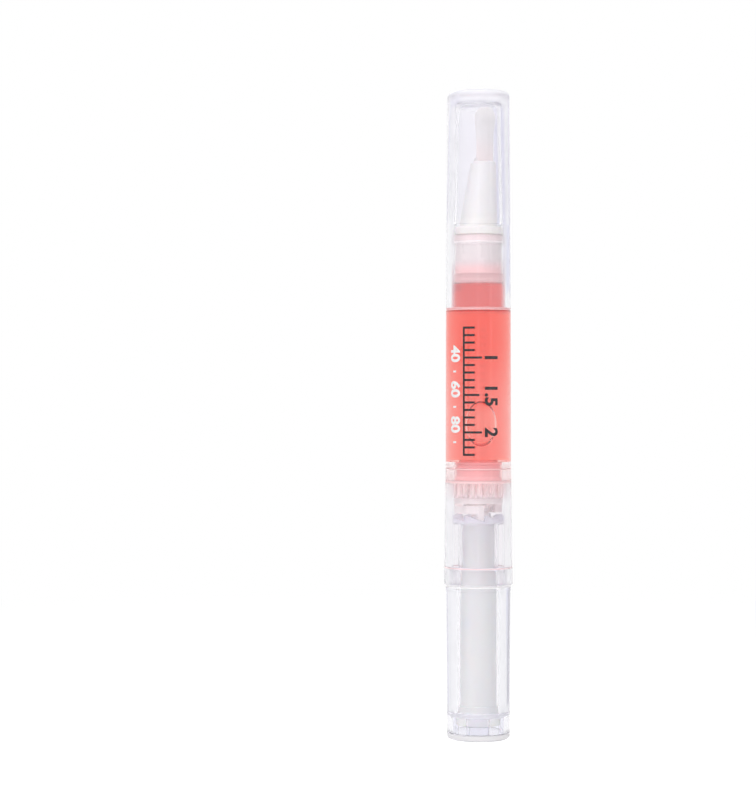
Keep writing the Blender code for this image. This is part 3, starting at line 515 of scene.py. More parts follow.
def floor_finish(name, shade):
    """Matt white table that stays white to the eye, and keeps the pen's shadow."""
    finish = new_finish(name)
    grain = finish.noise(900.0)
    matt = finish.plastic(
        Base_Color=finish.mix(grain, shade, dimmed(shade, 0.985)), Roughness=0.7 + 0.2 * grain,
        Specular_IOR_Level=0.2, IOR=1.5,
    )
    white = finish.glow()
    rays = finish.node("ShaderNodeLightPath")
    coordinates = finish.node("ShaderNodeTexCoord")["Object"]
    away = finish.node("ShaderNodeVectorMath", {"operation": "LENGTH"}, {0: coordinates})["Value"]
    lifted = finish.node("ShaderNodeAddShader", {}, {0: matt, 1: finish.glow(strength=0.38)})
    table = finish.blend(away.step(0.05, 0.30), lifted, white)
    looked_at = finish.blend(rays["Is Camera Ray"], matt, table)
    through = (rays["Is Glossy Ray"] + rays["Is Transmission Ray"]).at_most(1.0)
    return finish.done(finish.blend(through, looked_at, white))


def card_finish(name, grey):
    """Bluish grey card that fades out at its sides."""
    finish = new_finish(name)
    across = finish.node("ShaderNodeSeparateXYZ", {}, {"Vector": finish.node("ShaderNodeTexCoord")["UV"]})
    middle = across.step(0.0, 0.2) * (1.0 - across.step(0.8, 1.0))
    clear = finish.node("ShaderNodeBsdfTransparent")
    return finish.done(finish.blend(middle, clear, finish.glow((grey, grey, 1.25 * grey))))


def turned(corners, sides=SIDES, steps=4):
    """A body turned about Z through corners (radius, height), rounded where a third number is given.

    Long walls get a ring near each end, so that they shade flat right up to their corners.
    """
    mesh = bmesh.new()
    ring = [mesh.verts.new((corner[0], 0.0, corner[1])) for corner in corners]
    for pair in zip(ring, ring[1:]):
        mesh.edges.new(pair)
    if corners[0][0] > 0.0:
        mesh.edges.new((ring[-1], ring[0]))
    for vert, corner in zip(ring, corners):
        if len(corner) == 3:
            bmesh.ops.bevel(
                mesh, geom=[vert], offset=corner[2], offset_type="OFFSET", affect="VERTICES",
                segments=steps, profile=0.5, material=-1, clamp_overlap=False,
            )
    for edge in mesh.edges[:]:
        start, end = edge.verts
        span = edge.calc_length()
        if span > 8 * SUPPORT:
            edge, added = bmesh.utils.edge_split(edge, start, SUPPORT / span)
            rest = next(other for other in added.link_edges if end in other.verts)
            bmesh.utils.edge_split(rest, end, SUPPORT / (span - SUPPORT))
    bmesh.ops.spin(
        mesh, geom=mesh.verts[:] + mesh.edges[:], cent=(0, 0, 0), axis=(0, 0, 1),
        angle=2 * math.pi, steps=sides, use_merge=True,
    )
    bmesh.ops.remove_doubles(mesh, verts=mesh.verts, dist=1e-7)
    bmesh.ops.recalc_face_normals(mesh, faces=mesh.faces)
    return mesh


def polar(radius, angle, height):
    """A point from its radius, angle and height."""
    return Vector((radius * math.cos(angle), radius * math.sin(angle), height))


def lay(mesh, verts, right, up, middle):
    """Moves flat verts so that their X axis becomes right, their Y axis up, and their origin the middle."""
    rows = [(right[axis], up[axis], 0.0, middle[axis]) for axis in range(3)]
    bmesh.ops.transform(mesh, verts=verts, matrix=Matrix((*rows, (0.0, 0.0, 0.0, 1.0))))


def placed(name, data):
    """A new object with this data, in the scene."""
    thing = bpy.data.objects.new(name, data)
    bpy.context.scene.collection.objects.link(thing)
    return thing


def shaped(mesh, name, material):
    """An object from a bmesh, in one finish."""
    data = bpy.data.meshes.new(name)
    mesh.to_mesh(data)
    mesh.free()
    data.materials.append(material)
    return placed(name, data)


def finished(mesh, name, body, material, node=None, sharp=35.0):
    """A piece from a bmesh, smooth between its sharp edges, on its body and in its finish."""
    piece = shaped(mesh, name, material)
    piece.data.shade_smooth()
    piece.data.set_sharp_from_angle(angle=math.radians(sharp))
    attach(piece, body)
    if node is not None:
        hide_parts(node)
    return piece


def paint(node, material):
    """Gives a packed node a material."""
    data = frame["nodes"][node].data
    data.materials.clear()
    data.materials.append(material)


class PEN_OT_cap(bpy.types.Operator):
    """Makes the clear, thick-walled cap"""

    bl_idname = "brush_pen.cap"
    bl_label = "Cap"

    def execute(self, context):
        sizes, colours = context.scene.pen_cap, context.scene.pen_colours
        mouth, peak = foot("cap_shell"), top("cap_shell")
        step = mouth + sizes.mouth_depth
        ceiling = peak - sizes.top_wall
        mesh = turned([
            (0.0, peak), (sizes.top_width / 2, peak, sizes.top_rounding),
            (sizes.mouth_width / 2, mouth, SOFT), (sizes.mouth_bore / 2, mouth),
            (sizes.mouth_bore / 2, step), (sizes.bore_foot / 2, step, EDGE),
            (sizes.bore_top / 2, ceiling, sizes.bore_rounding), (0.0, ceiling),
        ], steps=8)
        # Painted shade: the darker veil round the brush.
        veil, pale = colours.cap_haze, colours.cap_top_haze
        plastic = clear_plastic("clear cap", [(0.0, colours.cap)], [
            (step - 0.0005, colours.haze, 0.03, 0.30), (step + 0.0015, veil, 0.15, 0.32),
            (ceiling - 0.0040, veil, 0.18, 0.32), (ceiling - 0.0010, pale, 0.20, 0.32),
            (ceiling + 0.0004, pale, 0.55), (peak - 0.0006, pale, 0.75),
        # The last list paints a pink highlight line along the cap's mouth.
        ], [(mouth + 0.0001, (1.0, 0.58, 0.59), 0.0002)])
        finished(mesh, "cap_clear", "cap", plastic, "cap_shell")
        return {"FINISHED"}


class PEN_OT_barrel(bpy.types.Operator):
    """Makes the clear barrel with its neck and skirt"""

    bl_idname = "brush_pen.barrel"
    bl_label = "Barrel"

    def execute(self, context):
        sizes, colours = context.scene.pen_barrel, context.scene.pen_colours
        rim, neck_top = foot("barrel"), top("barrel")
        shoulder = rim + sizes.body_height
        neck, neck_bore = sizes.neck_width / 2, sizes.neck_bore / 2
        bead, bead_half, bead_rise = neck_top - 0.0014, 0.00035, 0.00008
        skirt_bore, mouth = sizes.skirt_bore / 2, sizes.mouth_bore / 2
        reservoir = sizes.reservoir_width / 2
        reservoir_foot = rim + sizes.skirt_depth
        mouth_top = rim + sizes.mouth_depth
        groove, groove_half = rim - RUNNING + 0.0020, 0.0005
        oil_top, oil_foot = top("cuticle_oil"), top("piston") - 0.0004
        chamfer = 0.0002
        mesh = turned([
            (neck_bore, neck_top), (neck, neck_top, EDGE),
            (neck, bead + bead_half), (neck + bead_rise, bead, EDGE), (neck, bead - bead_half),
            (neck, shoulder, 0.00005), (sizes.shoulder_width / 2, shoulder, 0.00015),
            (sizes.waist_width / 2, rim + sizes.waist_height),
            (sizes.skirt_top_width / 2, rim + sizes.skirt_top_height),
            (sizes.skirt_middle_width / 2, rim + sizes.skirt_middle_height),
            (sizes.rim_width / 2, rim, 0.0004), (mouth, rim),
            (mouth, groove - groove_half), (mouth + RUNNING, groove), (mouth, groove + groove_half),
            (mouth, mouth_top), (skirt_bore, mouth_top), (skirt_bore, reservoir_foot),
            (reservoir + chamfer, reservoir_foot), (reservoir, reservoir_foot + chamfer),
            (reservoir, oil_top), (neck_bore, oil_top + 0.0016),
        ], steps=5)
        pink = colours.pink_haze
        plastic = clear_plastic("clear barrel", [
            (reservoir_foot - 0.0034, colours.barrel), (reservoir_foot, colours.barrel_stain),
            (oil_foot - 0.0004, colours.barrel_stain), (oil_foot, colours.barrel_wet),
            (oil_top, colours.barrel_wet), (oil_top + 0.0006, colours.neck_stain),
            (bead - 0.0008, colours.barrel_wet), (bead + 0.0004, colours.neck_stain),
        ], [
            (mouth_top, colours.haze, 0.07, 0.32), (reservoir_foot - 0.0040, colours.haze, 0.07, 0.32),
            (reservoir_foot - 0.0010, pink, 0.06, 0.32), (reservoir_foot, pink, 0.20, 0.30),
            (reservoir_foot + 0.0005, pink, 0.12), (oil_foot - 0.0004, pink, 0.12),
            (oil_foot, pink, 0.004), (oil_top, pink, 0.004), (oil_top + 0.0003, pink, 0.40),
            (oil_top + 0.0030, pink, 0.20), (oil_top + 0.0050, colours.haze, 0.03),
            (bead - 0.0004, colours.haze, 0.03), (bead + 0.0002, colours.pale_haze, 0.40),
        ], [
            # Painted highlights: bright lines at the rim, the shoulder and the bead, pink ones at the steps.
            (rim, PALE_HIGHLIGHT, 0.0004), (mouth_top, pink, 0.00012), (reservoir_foot, pink, 0.0003),
            (reservoir_foot + 0.0025, pink, 0.00012), (shoulder, colours.pale_haze, 0.0002),
            (bead, (1.0, 0.96, 0.97), 0.0002),
        ], knurl=(foot("guide_nut") + 0.0027, reservoir_foot, skirt_bore + 0.0001))
        finished(mesh, "barrel_clear", "barrel", plastic, "barrel")
        return {"FINISHED"}


def raise_teeth(mesh, crown_top, tooth_height):
    """Draws the sides together into eight slanted teeth, and raises the crown's top with them."""
    teeth = 8
    tooth_steps = SIDES // teeth
    tooth_angle = 2 * math.pi / teeth
    ramp = tooth_angle - math.radians(1.5)
    first_tooth = math.radians(283.0)
    for vert in mesh.verts:
        place = round(math.atan2(vert.co.y, vert.co.x) / (2 * math.pi) * SIDES) % SIDES
        tooth, step = divmod(place, tooth_steps)
        share = step / (tooth_steps - 1)
        height = vert.co.z
        if height > crown_top:
            height += tooth_height * (1.0 - share)
        angle = first_tooth + tooth * tooth_angle + ramp * share
        vert.co = polar(math.hypot(vert.co.x, vert.co.y), angle, height)
    bmesh.ops.recalc_face_normals(mesh, faces=mesh.faces)


def end_disc(radius, ring):
    """The disc, with four legs raised from the ring under the knob's socket."""
    height, leg_height, thickness = 0.0013, 0.0031, 0.00045
    leg_angle, phase, sides = math.radians(50.0), math.radians(-94.0), 144
    mesh = turned([
        (0.0, 0.0), (radius, 0.0, 0.0005), (radius, height, 0.000125), (ring, height),
        (ring - thickness, height), (0.0, height),
    ], sides, 6)
    start = phase - leg_angle / 2
    bmesh.ops.rotate(mesh, verts=mesh.verts, cent=(0, 0, 0), matrix=Matrix.Rotation(start, 3, "Z"))
    legs = []
    for face in mesh.faces:
        middle = face.calc_center_median()
        turn = (math.atan2(middle.y, middle.x) - start) % (math.pi / 2)
        on_top = middle.z > height - 0.00001
        if on_top and turn < leg_angle and ring - thickness < math.hypot(middle.x, middle.y) < ring:
            legs.append(face)
    raised = bmesh.ops.extrude_face_region(mesh, geom=legs)["geom"]
    verts = [part for part in raised if isinstance(part, bmesh.types.BMVert)]
    bmesh.ops.translate(mesh, verts=verts, vec=(0, 0, leg_height))
    return mesh


class PEN_OT_knob(bpy.types.Operator):
    """Makes the clear turning end: body, collar, spigot and toothed crown, and the disc that closes it"""

    bl_idname = "brush_pen.knob"
    bl_label = "Turning end"

    def execute(self, context):
        sizes, colours = context.scene.pen_feed, context.scene.pen_colours
        knob_foot = foot("knob")
        shoulder = foot("barrel") - RUNNING
        band_foot = shoulder - 0.0009
        collar, collar_top = context.scene.pen_barrel.mouth_bore / 2 - RUNNING, foot("barrel") + COLLAR
        bead, bead_half, bead_rise = shoulder + 0.0020, 0.0004, 0.0002
        tooth_height = 0.0011
        spigot, spigot_bore, spigot_top = 0.003965, 0.003265, top("knob") - tooth_height
        crown, crown_bore, crown_foot = 0.0052, 0.003615, spigot_top - 0.0006
        socket, socket_top = 0.0050, knob_foot + 0.0031
        flange_bore, flange_top = 0.003985, 0.0065 + SEAT
        bore = sizes.knob_bore / 2
        marker = 0.00001
        mesh = turned([
            (socket, knob_foot), (sizes.knob_foot_width / 2, knob_foot, EDGE),
            (sizes.knob_top_width / 2, band_foot), (sizes.knob_band_width / 2, band_foot, 0.00005),
            (sizes.knob_band_width / 2, shoulder, SOFT), (collar, shoulder),
            (collar, bead - bead_half), (collar + bead_rise, bead, EDGE), (collar, bead + bead_half),
            (collar, collar_top, 0.0003), (spigot, collar_top, 0.00005),
            (spigot, crown_foot), (crown, crown_foot),
            (crown, spigot_top + marker), (crown_bore, spigot_top + marker), (crown_bore, spigot_top),
            (spigot_bore, spigot_top), (spigot_bore, collar_top), (bore, collar_top - 0.0003),
            (bore, flange_top), (flange_bore, flange_top), (flange_bore, socket_top + 0.0007),
            (socket, socket_top),
        ], steps=5)
        raise_teeth(mesh, spigot_top + marker / 2, tooth_height)
        haze = colours.haze
        plastic = clear_plastic("clear turning end", [
            (socket_top, colours.knob_foot), (flange_top, colours.knob),
            (shoulder - 0.0002, colours.knob), (shoulder + 0.0004, colours.knob_collar),
        ], [
            (0.0011, haze, 0.06), (0.0015, haze, 0.02), (socket_top, haze, 0.03),
            (socket_top + 0.0008, haze, 0.05, 0.32), (shoulder, haze, 0.05, 0.32),
            (collar_top, haze, 0.05), (top("knob") - 0.0020, haze, 0.06), (top("knob") - 0.0012, haze, 0.40),
        ], [
            # Painted highlights and painted light: bright lines that lift the shade at the base and the
            # chamfer, and stand for highlights at the shoulder and the collar.
            (0.00065, PALE_HIGHLIGHT, 0.00068), (socket_top + 0.00035, (0.96, 0.95, 1.0), 0.0006, socket + 0.0001),
            (shoulder, WHITE, 0.00028), (collar_top, (0.97, 0.95, 1.0), 0.0002),
        ], slant_start=0.16)
        finished(mesh, "knob_clear", "knob", plastic, "knob")
        disc = end_disc(sizes.knob_foot_width / 2, socket - SEAT)
        finished(disc, "end_plug_clear", "knob", plastic, "end_plug")
        return {"FINISHED"}


def make_drive_tube(sizes, colours):
    """The white tube with its two-sided bore."""
    low, high = foot("drive_tube"), top("drive_tube")
    flange, flange_top = sizes.tube_flange_width / 2, low + 0.0018
    hub, hub_top = 0.003935, low + 0.0038
    tube, nose = sizes.tube_width / 2, sizes.tube_nose_width / 2
    nose_foot = foot("barrel") + COLLAR - 0.0002
    bore = sizes.rod_width / 2 + 0.0002
    half_flat = sizes.rod_across_flats / 2 + 0.00015
    mesh = turned([
        (bore, low), (flange, low, SOFT), (flange, flange_top, SOFT), (hub, flange_top),
        (hub, hub_top), (tube, hub_top), (tube, nose_foot - 0.0003), (nose, nose_foot),
        (nose, high, SOFT), (bore, high),
    ], 96)
    for vert in mesh.verts:
        if math.hypot(vert.co.x, vert.co.y) < bore + 0.00001:
            vert.co.y = max(-half_flat, min(half_flat, vert.co.y))
    # The foot white is partly the foot's warmer tone and partly painted light against its shade.
    white = moulded_white(
        "drive tube white", colours.milky, 0.32, colours.milky_foot, flange_top + 0.0001,
    )
    finished(mesh, "drive_tube_white", "knob", white, "drive_tube")


def make_plunger(lip):
    """The plunger with three lips and the socket for the rod's head."""
    low, high = foot("piston"), top("piston")
    waist, skirt, crown = 0.0043, 0.0037, 0.0038
    head, catch, boss = 0.0016, 0.00125, 0.0024
    socket_top = top("screw_rod") + SEAT
    catch_top = socket_top - 0.0010 - 2 * SEAT
    boss_foot, roof = low + 0.0006, low + 0.0017
    middle, upper = high - 0.0018, high - 0.0008
    tip = 0.00006
    mesh = turned([
        (0.0, socket_top), (head, socket_top), (head, catch_top), (catch, catch_top),
        (catch, boss_foot), (boss, boss_foot, EDGE), (boss, roof), (skirt, roof),
        (skirt, low), (lip, low, EDGE), (lip, low + 0.0004, EDGE), (waist, low + 0.0008),
        (waist, middle - 0.0002), (lip, middle, tip), (lip, middle + 0.0002, tip),
        (waist, middle + 0.0004), (waist, upper - 0.0002), (lip, upper, tip),
        (lip, upper + 0.0004, EDGE), (crown, upper + 0.0004), (crown, high, SOFT), (0.0, high),
    ], 112)
    finish = natural_plastic(
        "plunger plastic", (0.98, 0.45, 0.47), 0.40, 0.12, low + 0.0002, high, (0.98, 0.75, 0.77),
    )
    finished(mesh, "plunger_natural", "piston", finish, "piston")


class PEN_OT_mechanism(bpy.types.Operator):
    """Makes the drive tube and the plunger, and finishes the rod, the nut and the click ring"""

    bl_idname = "brush_pen.mechanism"
    bl_label = "Feed mechanism"

    def execute(self, context):
        colours = context.scene.pen_colours
        make_drive_tube(context.scene.pen_feed, colours)
        make_plunger(context.scene.pen_barrel.reservoir_width / 2 - SEAT)
        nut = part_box("guide_nut")
        paint("screw_rod", moulded_white("rod white", (0.86, 0.85, 0.86), 0.35))
        # The nut's second shade is the painted shade in its grooves.
        paint("guide_nut", ribbed_plastic(
            "ribbed nut", (0.99, 0.97, 0.97), (0.98, 0.91, 0.92), (nut[1].x - nut[0].x) / 2,
        ))
        paint("click_ring", natural_plastic("click ring plastic", (0.96, 0.925, 0.925), 0.35, 0.3))
        return {"FINISHED"}


def add_bubble(mesh):
    """A tall air bubble near the front of the reservoir, as a hollow in the oil."""
    half_sizes, place = (0.0026, 0.0014, 0.0044), (0.0003, -0.0027, 0.0613)
    before = set(mesh.verts)
    bmesh.ops.create_uvsphere(mesh, u_segments=64, v_segments=48, radius=1.0)
    verts = [vert for vert in mesh.verts if vert not in before]
    faces = {face for vert in verts for face in vert.link_faces}
    bmesh.ops.scale(mesh, verts=verts, vec=half_sizes)
    bmesh.ops.translate(mesh, verts=verts, vec=place)
    bmesh.ops.recalc_face_normals(mesh, faces=list(faces))
    bmesh.ops.reverse_faces(mesh, faces=list(faces))


class PEN_OT_oil(bpy.types.Operator):
    """Fills the reservoir with oil round one bubble, and wets the wall above it"""

    bl_idname = "brush_pen.oil"
    bl_label = "Oil"

    def execute(self, context):
        sizes, colours = context.scene.pen_barrel, context.scene.pen_colours
        bore, neck_bore = sizes.reservoir_width / 2, sizes.neck_bore / 2
        level, crown = top("cuticle_oil"), top("piston")
        crown_width, step = 0.0038 + WET, crown - 0.0004
        mesh = turned([
            (0.0, crown + WET), (crown_width, crown + WET), (crown_width, step + WET),
            (bore + WET, step + WET), (bore + WET, level + 0.0001), (bore - 0.0004, level - 0.0001, EDGE),
            (0.0, level - 0.00015),
        ])
        add_bubble(mesh)
        # The oil's tint changes by height alone: deeper towards the top, darkest from about the cap's mouth
        # up.
        finish = oil_finish("coral oil", [
            (crown + 0.010, colours.oil), (level - 0.012, colours.oil_top), (level - 0.0056, colours.oil_top),
            (level - 0.0048, colours.neck_oil),
        ], colours.oil_depth, 180.0)
        oil = finished(mesh, "oil_fill", "barrel", finish, "cuticle_oil")
        travel = next(joint for joint in frame["joints"] if joint["name"] == "piston_feed")["range_m"][1]
        rest_length = level - foot("cuticle_oil")
        (rest_length - travel) / rest_length
        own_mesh(oil)
        film = turned([
            (bore + WET, level + 0.0002), (neck_bore + WET, level + 0.0016),
            (neck_bore - SEAT + 0.00001, level + 0.0017), (bore - 0.00025, level + 0.0002),
        ])
        wet = oil_finish("oil film", [(0.0, (0.99, 0.80, 0.80))], (0.95, 0.6, 0.6), 60.0)
        finished(film, "oil_film", "barrel", wet)
        return {"FINISHED"}


def make_plug(radius, colours, neck_top):
    """The translucent plug in the neck, pink where the oil has wetted its skirt."""
    low, floor = foot("neck_plug"), foot("brush_nozzle") - SEAT
    body_foot = low + 0.0016
    hole, stem, skirt_bore = 0.00085, 0.00255, radius - 0.00065
    mesh = turned([
        (hole, floor), (stem, floor), (stem, neck_top), (radius, neck_top, SOFT),
        (radius, low, EDGE), (skirt_bore, low), (skirt_bore, body_foot), (hole, floor - 0.0008),
    ], 112)
    finish = natural_plastic(
        "plug plastic", colours.natural, 0.12, 0.22, low - 0.0002, low + 0.0028, colours.wet_natural,
    )
    finished(mesh, "plug_natural", "barrel", finish, "neck_plug")


def make_nozzle(sizes, colours, seat, rim):
    """The white cone on its flange, leaning a little."""
    low, web_top = foot("brush_nozzle"), foot("brush_tuft") - SEAT
    web_foot = web_top - 0.0008
    cone_foot = seat + sizes.flange_height
    flange, stem, core, tuft_bore, hole = sizes.flange_width / 2, 0.0025, 0.0015, 0.0020, 0.00085
    mesh = turned([
        (core, low), (stem, low, SOFT), (stem, seat), (flange, seat, SOFT),
        (flange, cone_foot, 0.0003), (sizes.cone_foot_width / 2, cone_foot, EDGE),
        (sizes.cone_top_width / 2, rim, 0.0004), (tuft_bore, rim, EDGE), (tuft_bore, web_top),
        (hole, web_top), (hole, web_foot), (core, web_foot),
    ], 112, 6)
    for vert in mesh.verts:
        vert.co.x += sizes.nozzle_lean * max(0.0, vert.co.z - cone_foot) / (rim - cone_foot)
    # The flange white is painted light against the shade on the flange.
    white = moulded_white("nozzle white", colours.white, 0.3, colours.white_flange, cone_foot)
    finished(mesh, "nozzle_white", "barrel", white, "brush_nozzle")


def tuft(sizes, rim):
    """Tapered strands round a core, from the root in the nozzle to a rounded tip."""
    mesh = bmesh.new()
    golden = math.pi * (3.0 - math.sqrt(5.0))
    reach = top("brush_tuft") - rim
    root_foot = rim - 0.0006
    for strand in range(sizes.strands):
        spot = 0.97 * math.sqrt((strand + 0.5) / sizes.strands)
        height = reach * (1.0 - 0.20 * spot ** 2.5) - 0.0002 * (strand * 7 % 5)
        middle = root_foot + (rim + height - root_foot) / 2
        cone(mesh, 3, 0.026, 0.014, rim + height - root_foot, polar(spot, strand * golden, middle))
    core_top = rim + 0.75 * reach
    cone(mesh, 24, 0.84, 0.5, core_top - root_foot, (0.0, 0.0, (root_foot + core_top) / 2))
    long_edges = [edge for edge in mesh.edges if abs(edge.verts[0].co.z - edge.verts[1].co.z) > 0.004]
    bmesh.ops.subdivide_edges(mesh, edges=long_edges, cuts=5)
    for vert in mesh.verts:
        share = max(0.0, vert.co.z - rim) / reach
        outline = tuft_radius(sizes, share)
        aside = sizes.nozzle_lean + sizes.root_shift + sizes.lean * share ** 1.5
        vert.co.x = vert.co.x * outline + aside
        vert.co.y = vert.co.y * outline
    bmesh.ops.recalc_face_normals(mesh, faces=mesh.faces)
    return mesh


def cone(mesh, sides, foot_radius, top_radius, height, middle):
    """A closed cone, whose radii are shares of the tuft's."""
    bmesh.ops.create_cone(
        mesh, cap_ends=True, segments=sides, radius1=foot_radius, radius2=top_radius, depth=height,
        matrix=Matrix.Translation(middle),
    )


def tuft_radius(sizes, share):
    """The tuft's outer radius at a share of its length."""
    root, waist, belly = sizes.root_width / 2, sizes.waist_width / 2, sizes.belly_width / 2
    if share < 0.4:
        blend = share / 0.4
        return root + (waist - root) * (3 - 2 * blend) * blend ** 2
    blend = min(1.0, (share - 0.4) / 0.4)
    return waist + (belly - waist) * (3 - 2 * blend) * blend ** 2


class PEN_OT_brush(bpy.types.Operator):
    """Makes the neck plug, the nozzle, the capillary and the tuft of soft bristles"""

    bl_idname = "brush_pen.brush"
    bl_label = "Brush"

    def execute(self, context):
        sizes, colours = context.scene.pen_brush, context.scene.pen_colours
        neck_top, rim = top("barrel"), top("brush_nozzle")
        make_plug(context.scene.pen_barrel.neck_bore / 2 - SEAT, colours, neck_top)
        make_nozzle(sizes, colours, neck_top + SEAT, rim)
        tube_foot, tube_top = foot("feed_tube"), top("feed_tube")
        bore, tube = 0.00045, 0.0008
        mesh = turned([(bore, tube_foot), (tube, tube_foot), (tube, tube_top), (bore, tube_top)], 48)
        finish = natural_plastic("capillary plastic", (0.93, 0.90, 0.89), 0.4, 0.3)
        finished(mesh, "capillary", "barrel", finish, "feed_tube")
        bristle = bristle_finish("bristle nylon", colours.bristle, colours.wet_bristle, rim, rim + 0.0062)
        finished(tuft(sizes, rim), "tuft_soft", "barrel", bristle, "brush_tuft", 80.0)
        return {"FINISHED"}


def mark(mesh, left, right, height, thickness):
    """A flat bar in the plane y = 0."""
    bar = bmesh.ops.create_grid(mesh, x_segments=1, y_segments=1, size=0.5)["verts"]
    lay(mesh, bar, (right - left, 0, 0), (0, 0, thickness), ((left + right) / 2, 0, height))


def figures(mesh, body, size, middle, height):
    """Flat figures in the plane y = 0 whose tops point to +X, as on a pen held level."""
    text = bpy.data.curves.new(body, "FONT")
    text.body = body
    text.size = size
    text.align_x = "CENTER"
    text.align_y = "CENTER"
    text.resolution_u = 6
    text.offset = 0.035 * size
    figure = placed(body, text)
    flat = bpy.data.meshes.new_from_object(figure.evaluated_get(bpy.context.evaluated_depsgraph_get()))
    bpy.data.objects.remove(figure, do_unlink=True)
    bpy.data.curves.remove(text)
    before = set(mesh.verts)
    mesh.from_mesh(flat)
    bpy.data.meshes.remove(flat)
    verts = [vert for vert in mesh.verts if vert not in before]
    lay(mesh, verts, (0, 0, -1), (1, 0, 0), (middle, 0, height))


def print_on_barrel(sizes, mesh, name, ink):
    """Lays a flat print round the barrel's front as a thin film."""
    waist, shoulder = foot("barrel") + sizes.waist_height, foot("barrel") + sizes.body_height
    slices, gap, film = 60, 0.000004, 0.000015
    for cut in range(1, slices):
        place = sizes.waist_width * (cut / slices - 0.5) * 1.2
        bmesh.ops.bisect_plane(
            mesh, geom=mesh.verts[:] + mesh.edges[:] + mesh.faces[:],
            plane_co=(place, 0, 0), plane_no=(1, 0, 0), dist=1e-7,
        )
    for vert in mesh.verts:
        share = (vert.co.z - waist) / (shoulder - waist)
        radius = (sizes.waist_width + (sizes.shoulder_width - sizes.waist_width) * share) / 2 + gap
        vert.co = polar(radius, vert.co.x / radius - math.pi / 2, vert.co.z)
    bmesh.ops.remove_doubles(mesh, verts=mesh.verts, dist=1e-6)
    bmesh.ops.recalc_face_normals(mesh, faces=mesh.faces)
    inward = [face for face in mesh.faces if face.normal.dot(face.calc_center_median()) < 0]
    bmesh.ops.reverse_faces(mesh, faces=inward)
    bmesh.ops.solidify(mesh, geom=mesh.faces[:], thickness=-film)
    bmesh.ops.recalc_face_normals(mesh, faces=mesh.faces)
    finished(mesh, name, "barrel", ink)


class PEN_OT_scale(bpy.types.Operator):
    """Prints a plain scale with numbers on the barrel, and fine white marks beside it"""

    bl_idname = "brush_pen.scale"
    bl_label = "Printed scale"

    def execute(self, context):
        sizes, colours = context.scene.pen_barrel, context.scene.pen_colours
        full, level = foot("cuticle_oil"), top("cuticle_oil")
        millilitre = 1e-6 / (math.pi * (sizes.reservoir_width / 2) ** 2)
        line = -0.0032
        black = bmesh.new()
        for tenth in range(6, 24):
            reach = 0.0036 if tenth % 10 == 0 else 0.0031 if tenth % 5 == 0 else 0.0022
            mark(black, line, line + reach, level - tenth / 10 * millilitre, 0.00042)
        middle = (level - 0.6 * millilitre + level - 2.3 * millilitre) / 2
        mark(black, line - 0.0002, line + 0.0002, middle, 0.02490)
        for words, volume in (("2", 2.0), ("1.5", 1.5), ("1", 1.0)):
            figures(black, words, 0.0036, 0.00215, level - volume * millilitre)
        print_on_barrel(sizes, black, "black_scale", ink_finish("black ink", colours.black_ink))
        white = bmesh.new()
        for percent in range(40, 100, 10):
            height = full + (level - full) * (1 - percent / 100)
            if percent % 20 == 0:
                figures(white, str(percent), 0.0032, -0.0054, height)
            else:
                mark(white, -0.0058, -0.0050, height, 0.00035)
        print_on_barrel(sizes, white, "white_marks", ink_finish("white ink", colours.white_ink))
        return {"FINISHED"}


def make_floor(shade):
    """A wide white table just under the pen."""
    mesh = bmesh.new()
    bmesh.ops.create_grid(mesh, x_segments=1, y_segments=1, size=3.0)
    bmesh.ops.translate(mesh, verts=mesh.verts, vec=(0, 0, -0.00003))
    shaped(mesh, "floor", floor_finish("white table", shade))


def make_card(name, start, end, heights, grey):
    """An upright card, seen only in gloss and through clear plastic, that shades the pen's edges."""
    mesh = bmesh.new()
    mesh.loops.layers.uv.new("UVMap")
    bmesh.ops.create_grid(mesh, x_segments=1, y_segments=1, size=0.5, calc_uvs=True)
    start, end = Vector((*start, heights[0])), Vector((*end, heights[1]))
    span = end - start
    lay(mesh, mesh.verts, (span.x, span.y, 0), (0, 0, span.z), (start + end) / 2)
    card = shaped(mesh, name, card_finish(name, grey))
    card.visible_camera = False
    card.visible_diffuse = False
    card.visible_shadow = False


def make_lamp(name, place, size, power):
    """A soft lamp that looks at the pen's middle, and isn't seen through clear plastic."""
    data = bpy.data.lights.new(name, "AREA")
    data.shape = "RECTANGLE"
    data.size, data.size_y = size
    data.energy = power
    lamp = placed(name, data)
    lamp.location = place
    aim = Vector((0.0, 0.0, 0.06)) - Vector(place)
    lamp.rotation_euler = aim.to_track_quat("-Z", "Y").to_euler()
    lamp.visible_transmission = False


def make_world(scene, sky):
    """White to the eye, in gloss and through clear plastic, and a plain soft light elsewhere."""
    scene.world = scene.world or bpy.data.worlds.new("studio")
    finish = Finish(scene.world)
    rays = finish.node("ShaderNodeLightPath")
    seen = (rays["Is Camera Ray"] + rays["Is Glossy Ray"] + rays["Is Transmission Ray"]).at_most(1.0)
    soft = finish.node("ShaderNodeBackground", {}, {"Color": WHITE, "Strength": sky})
    white = finish.node("ShaderNodeBackground", {}, {"Color": WHITE, "Strength": 1.0})
    finish.node("ShaderNodeOutputWorld", {}, {"Surface": finish.blend(seen, soft, white)})


def make_camera(scene, studio):
    """A level camera at the pen's middle height."""
    data = bpy.data.cameras.new("camera")
    data.sensor_width = 36.0
    data.lens = data.sensor_width * studio.distance / studio.view_height
    data.clip_start = 0.01
    scene.camera = placed("camera", data)
    scene.camera.location = (-studio.aside, -studio.distance, studio.height)
    scene.camera.rotation_euler = (math.pi / 2, 0.0, 0.0)


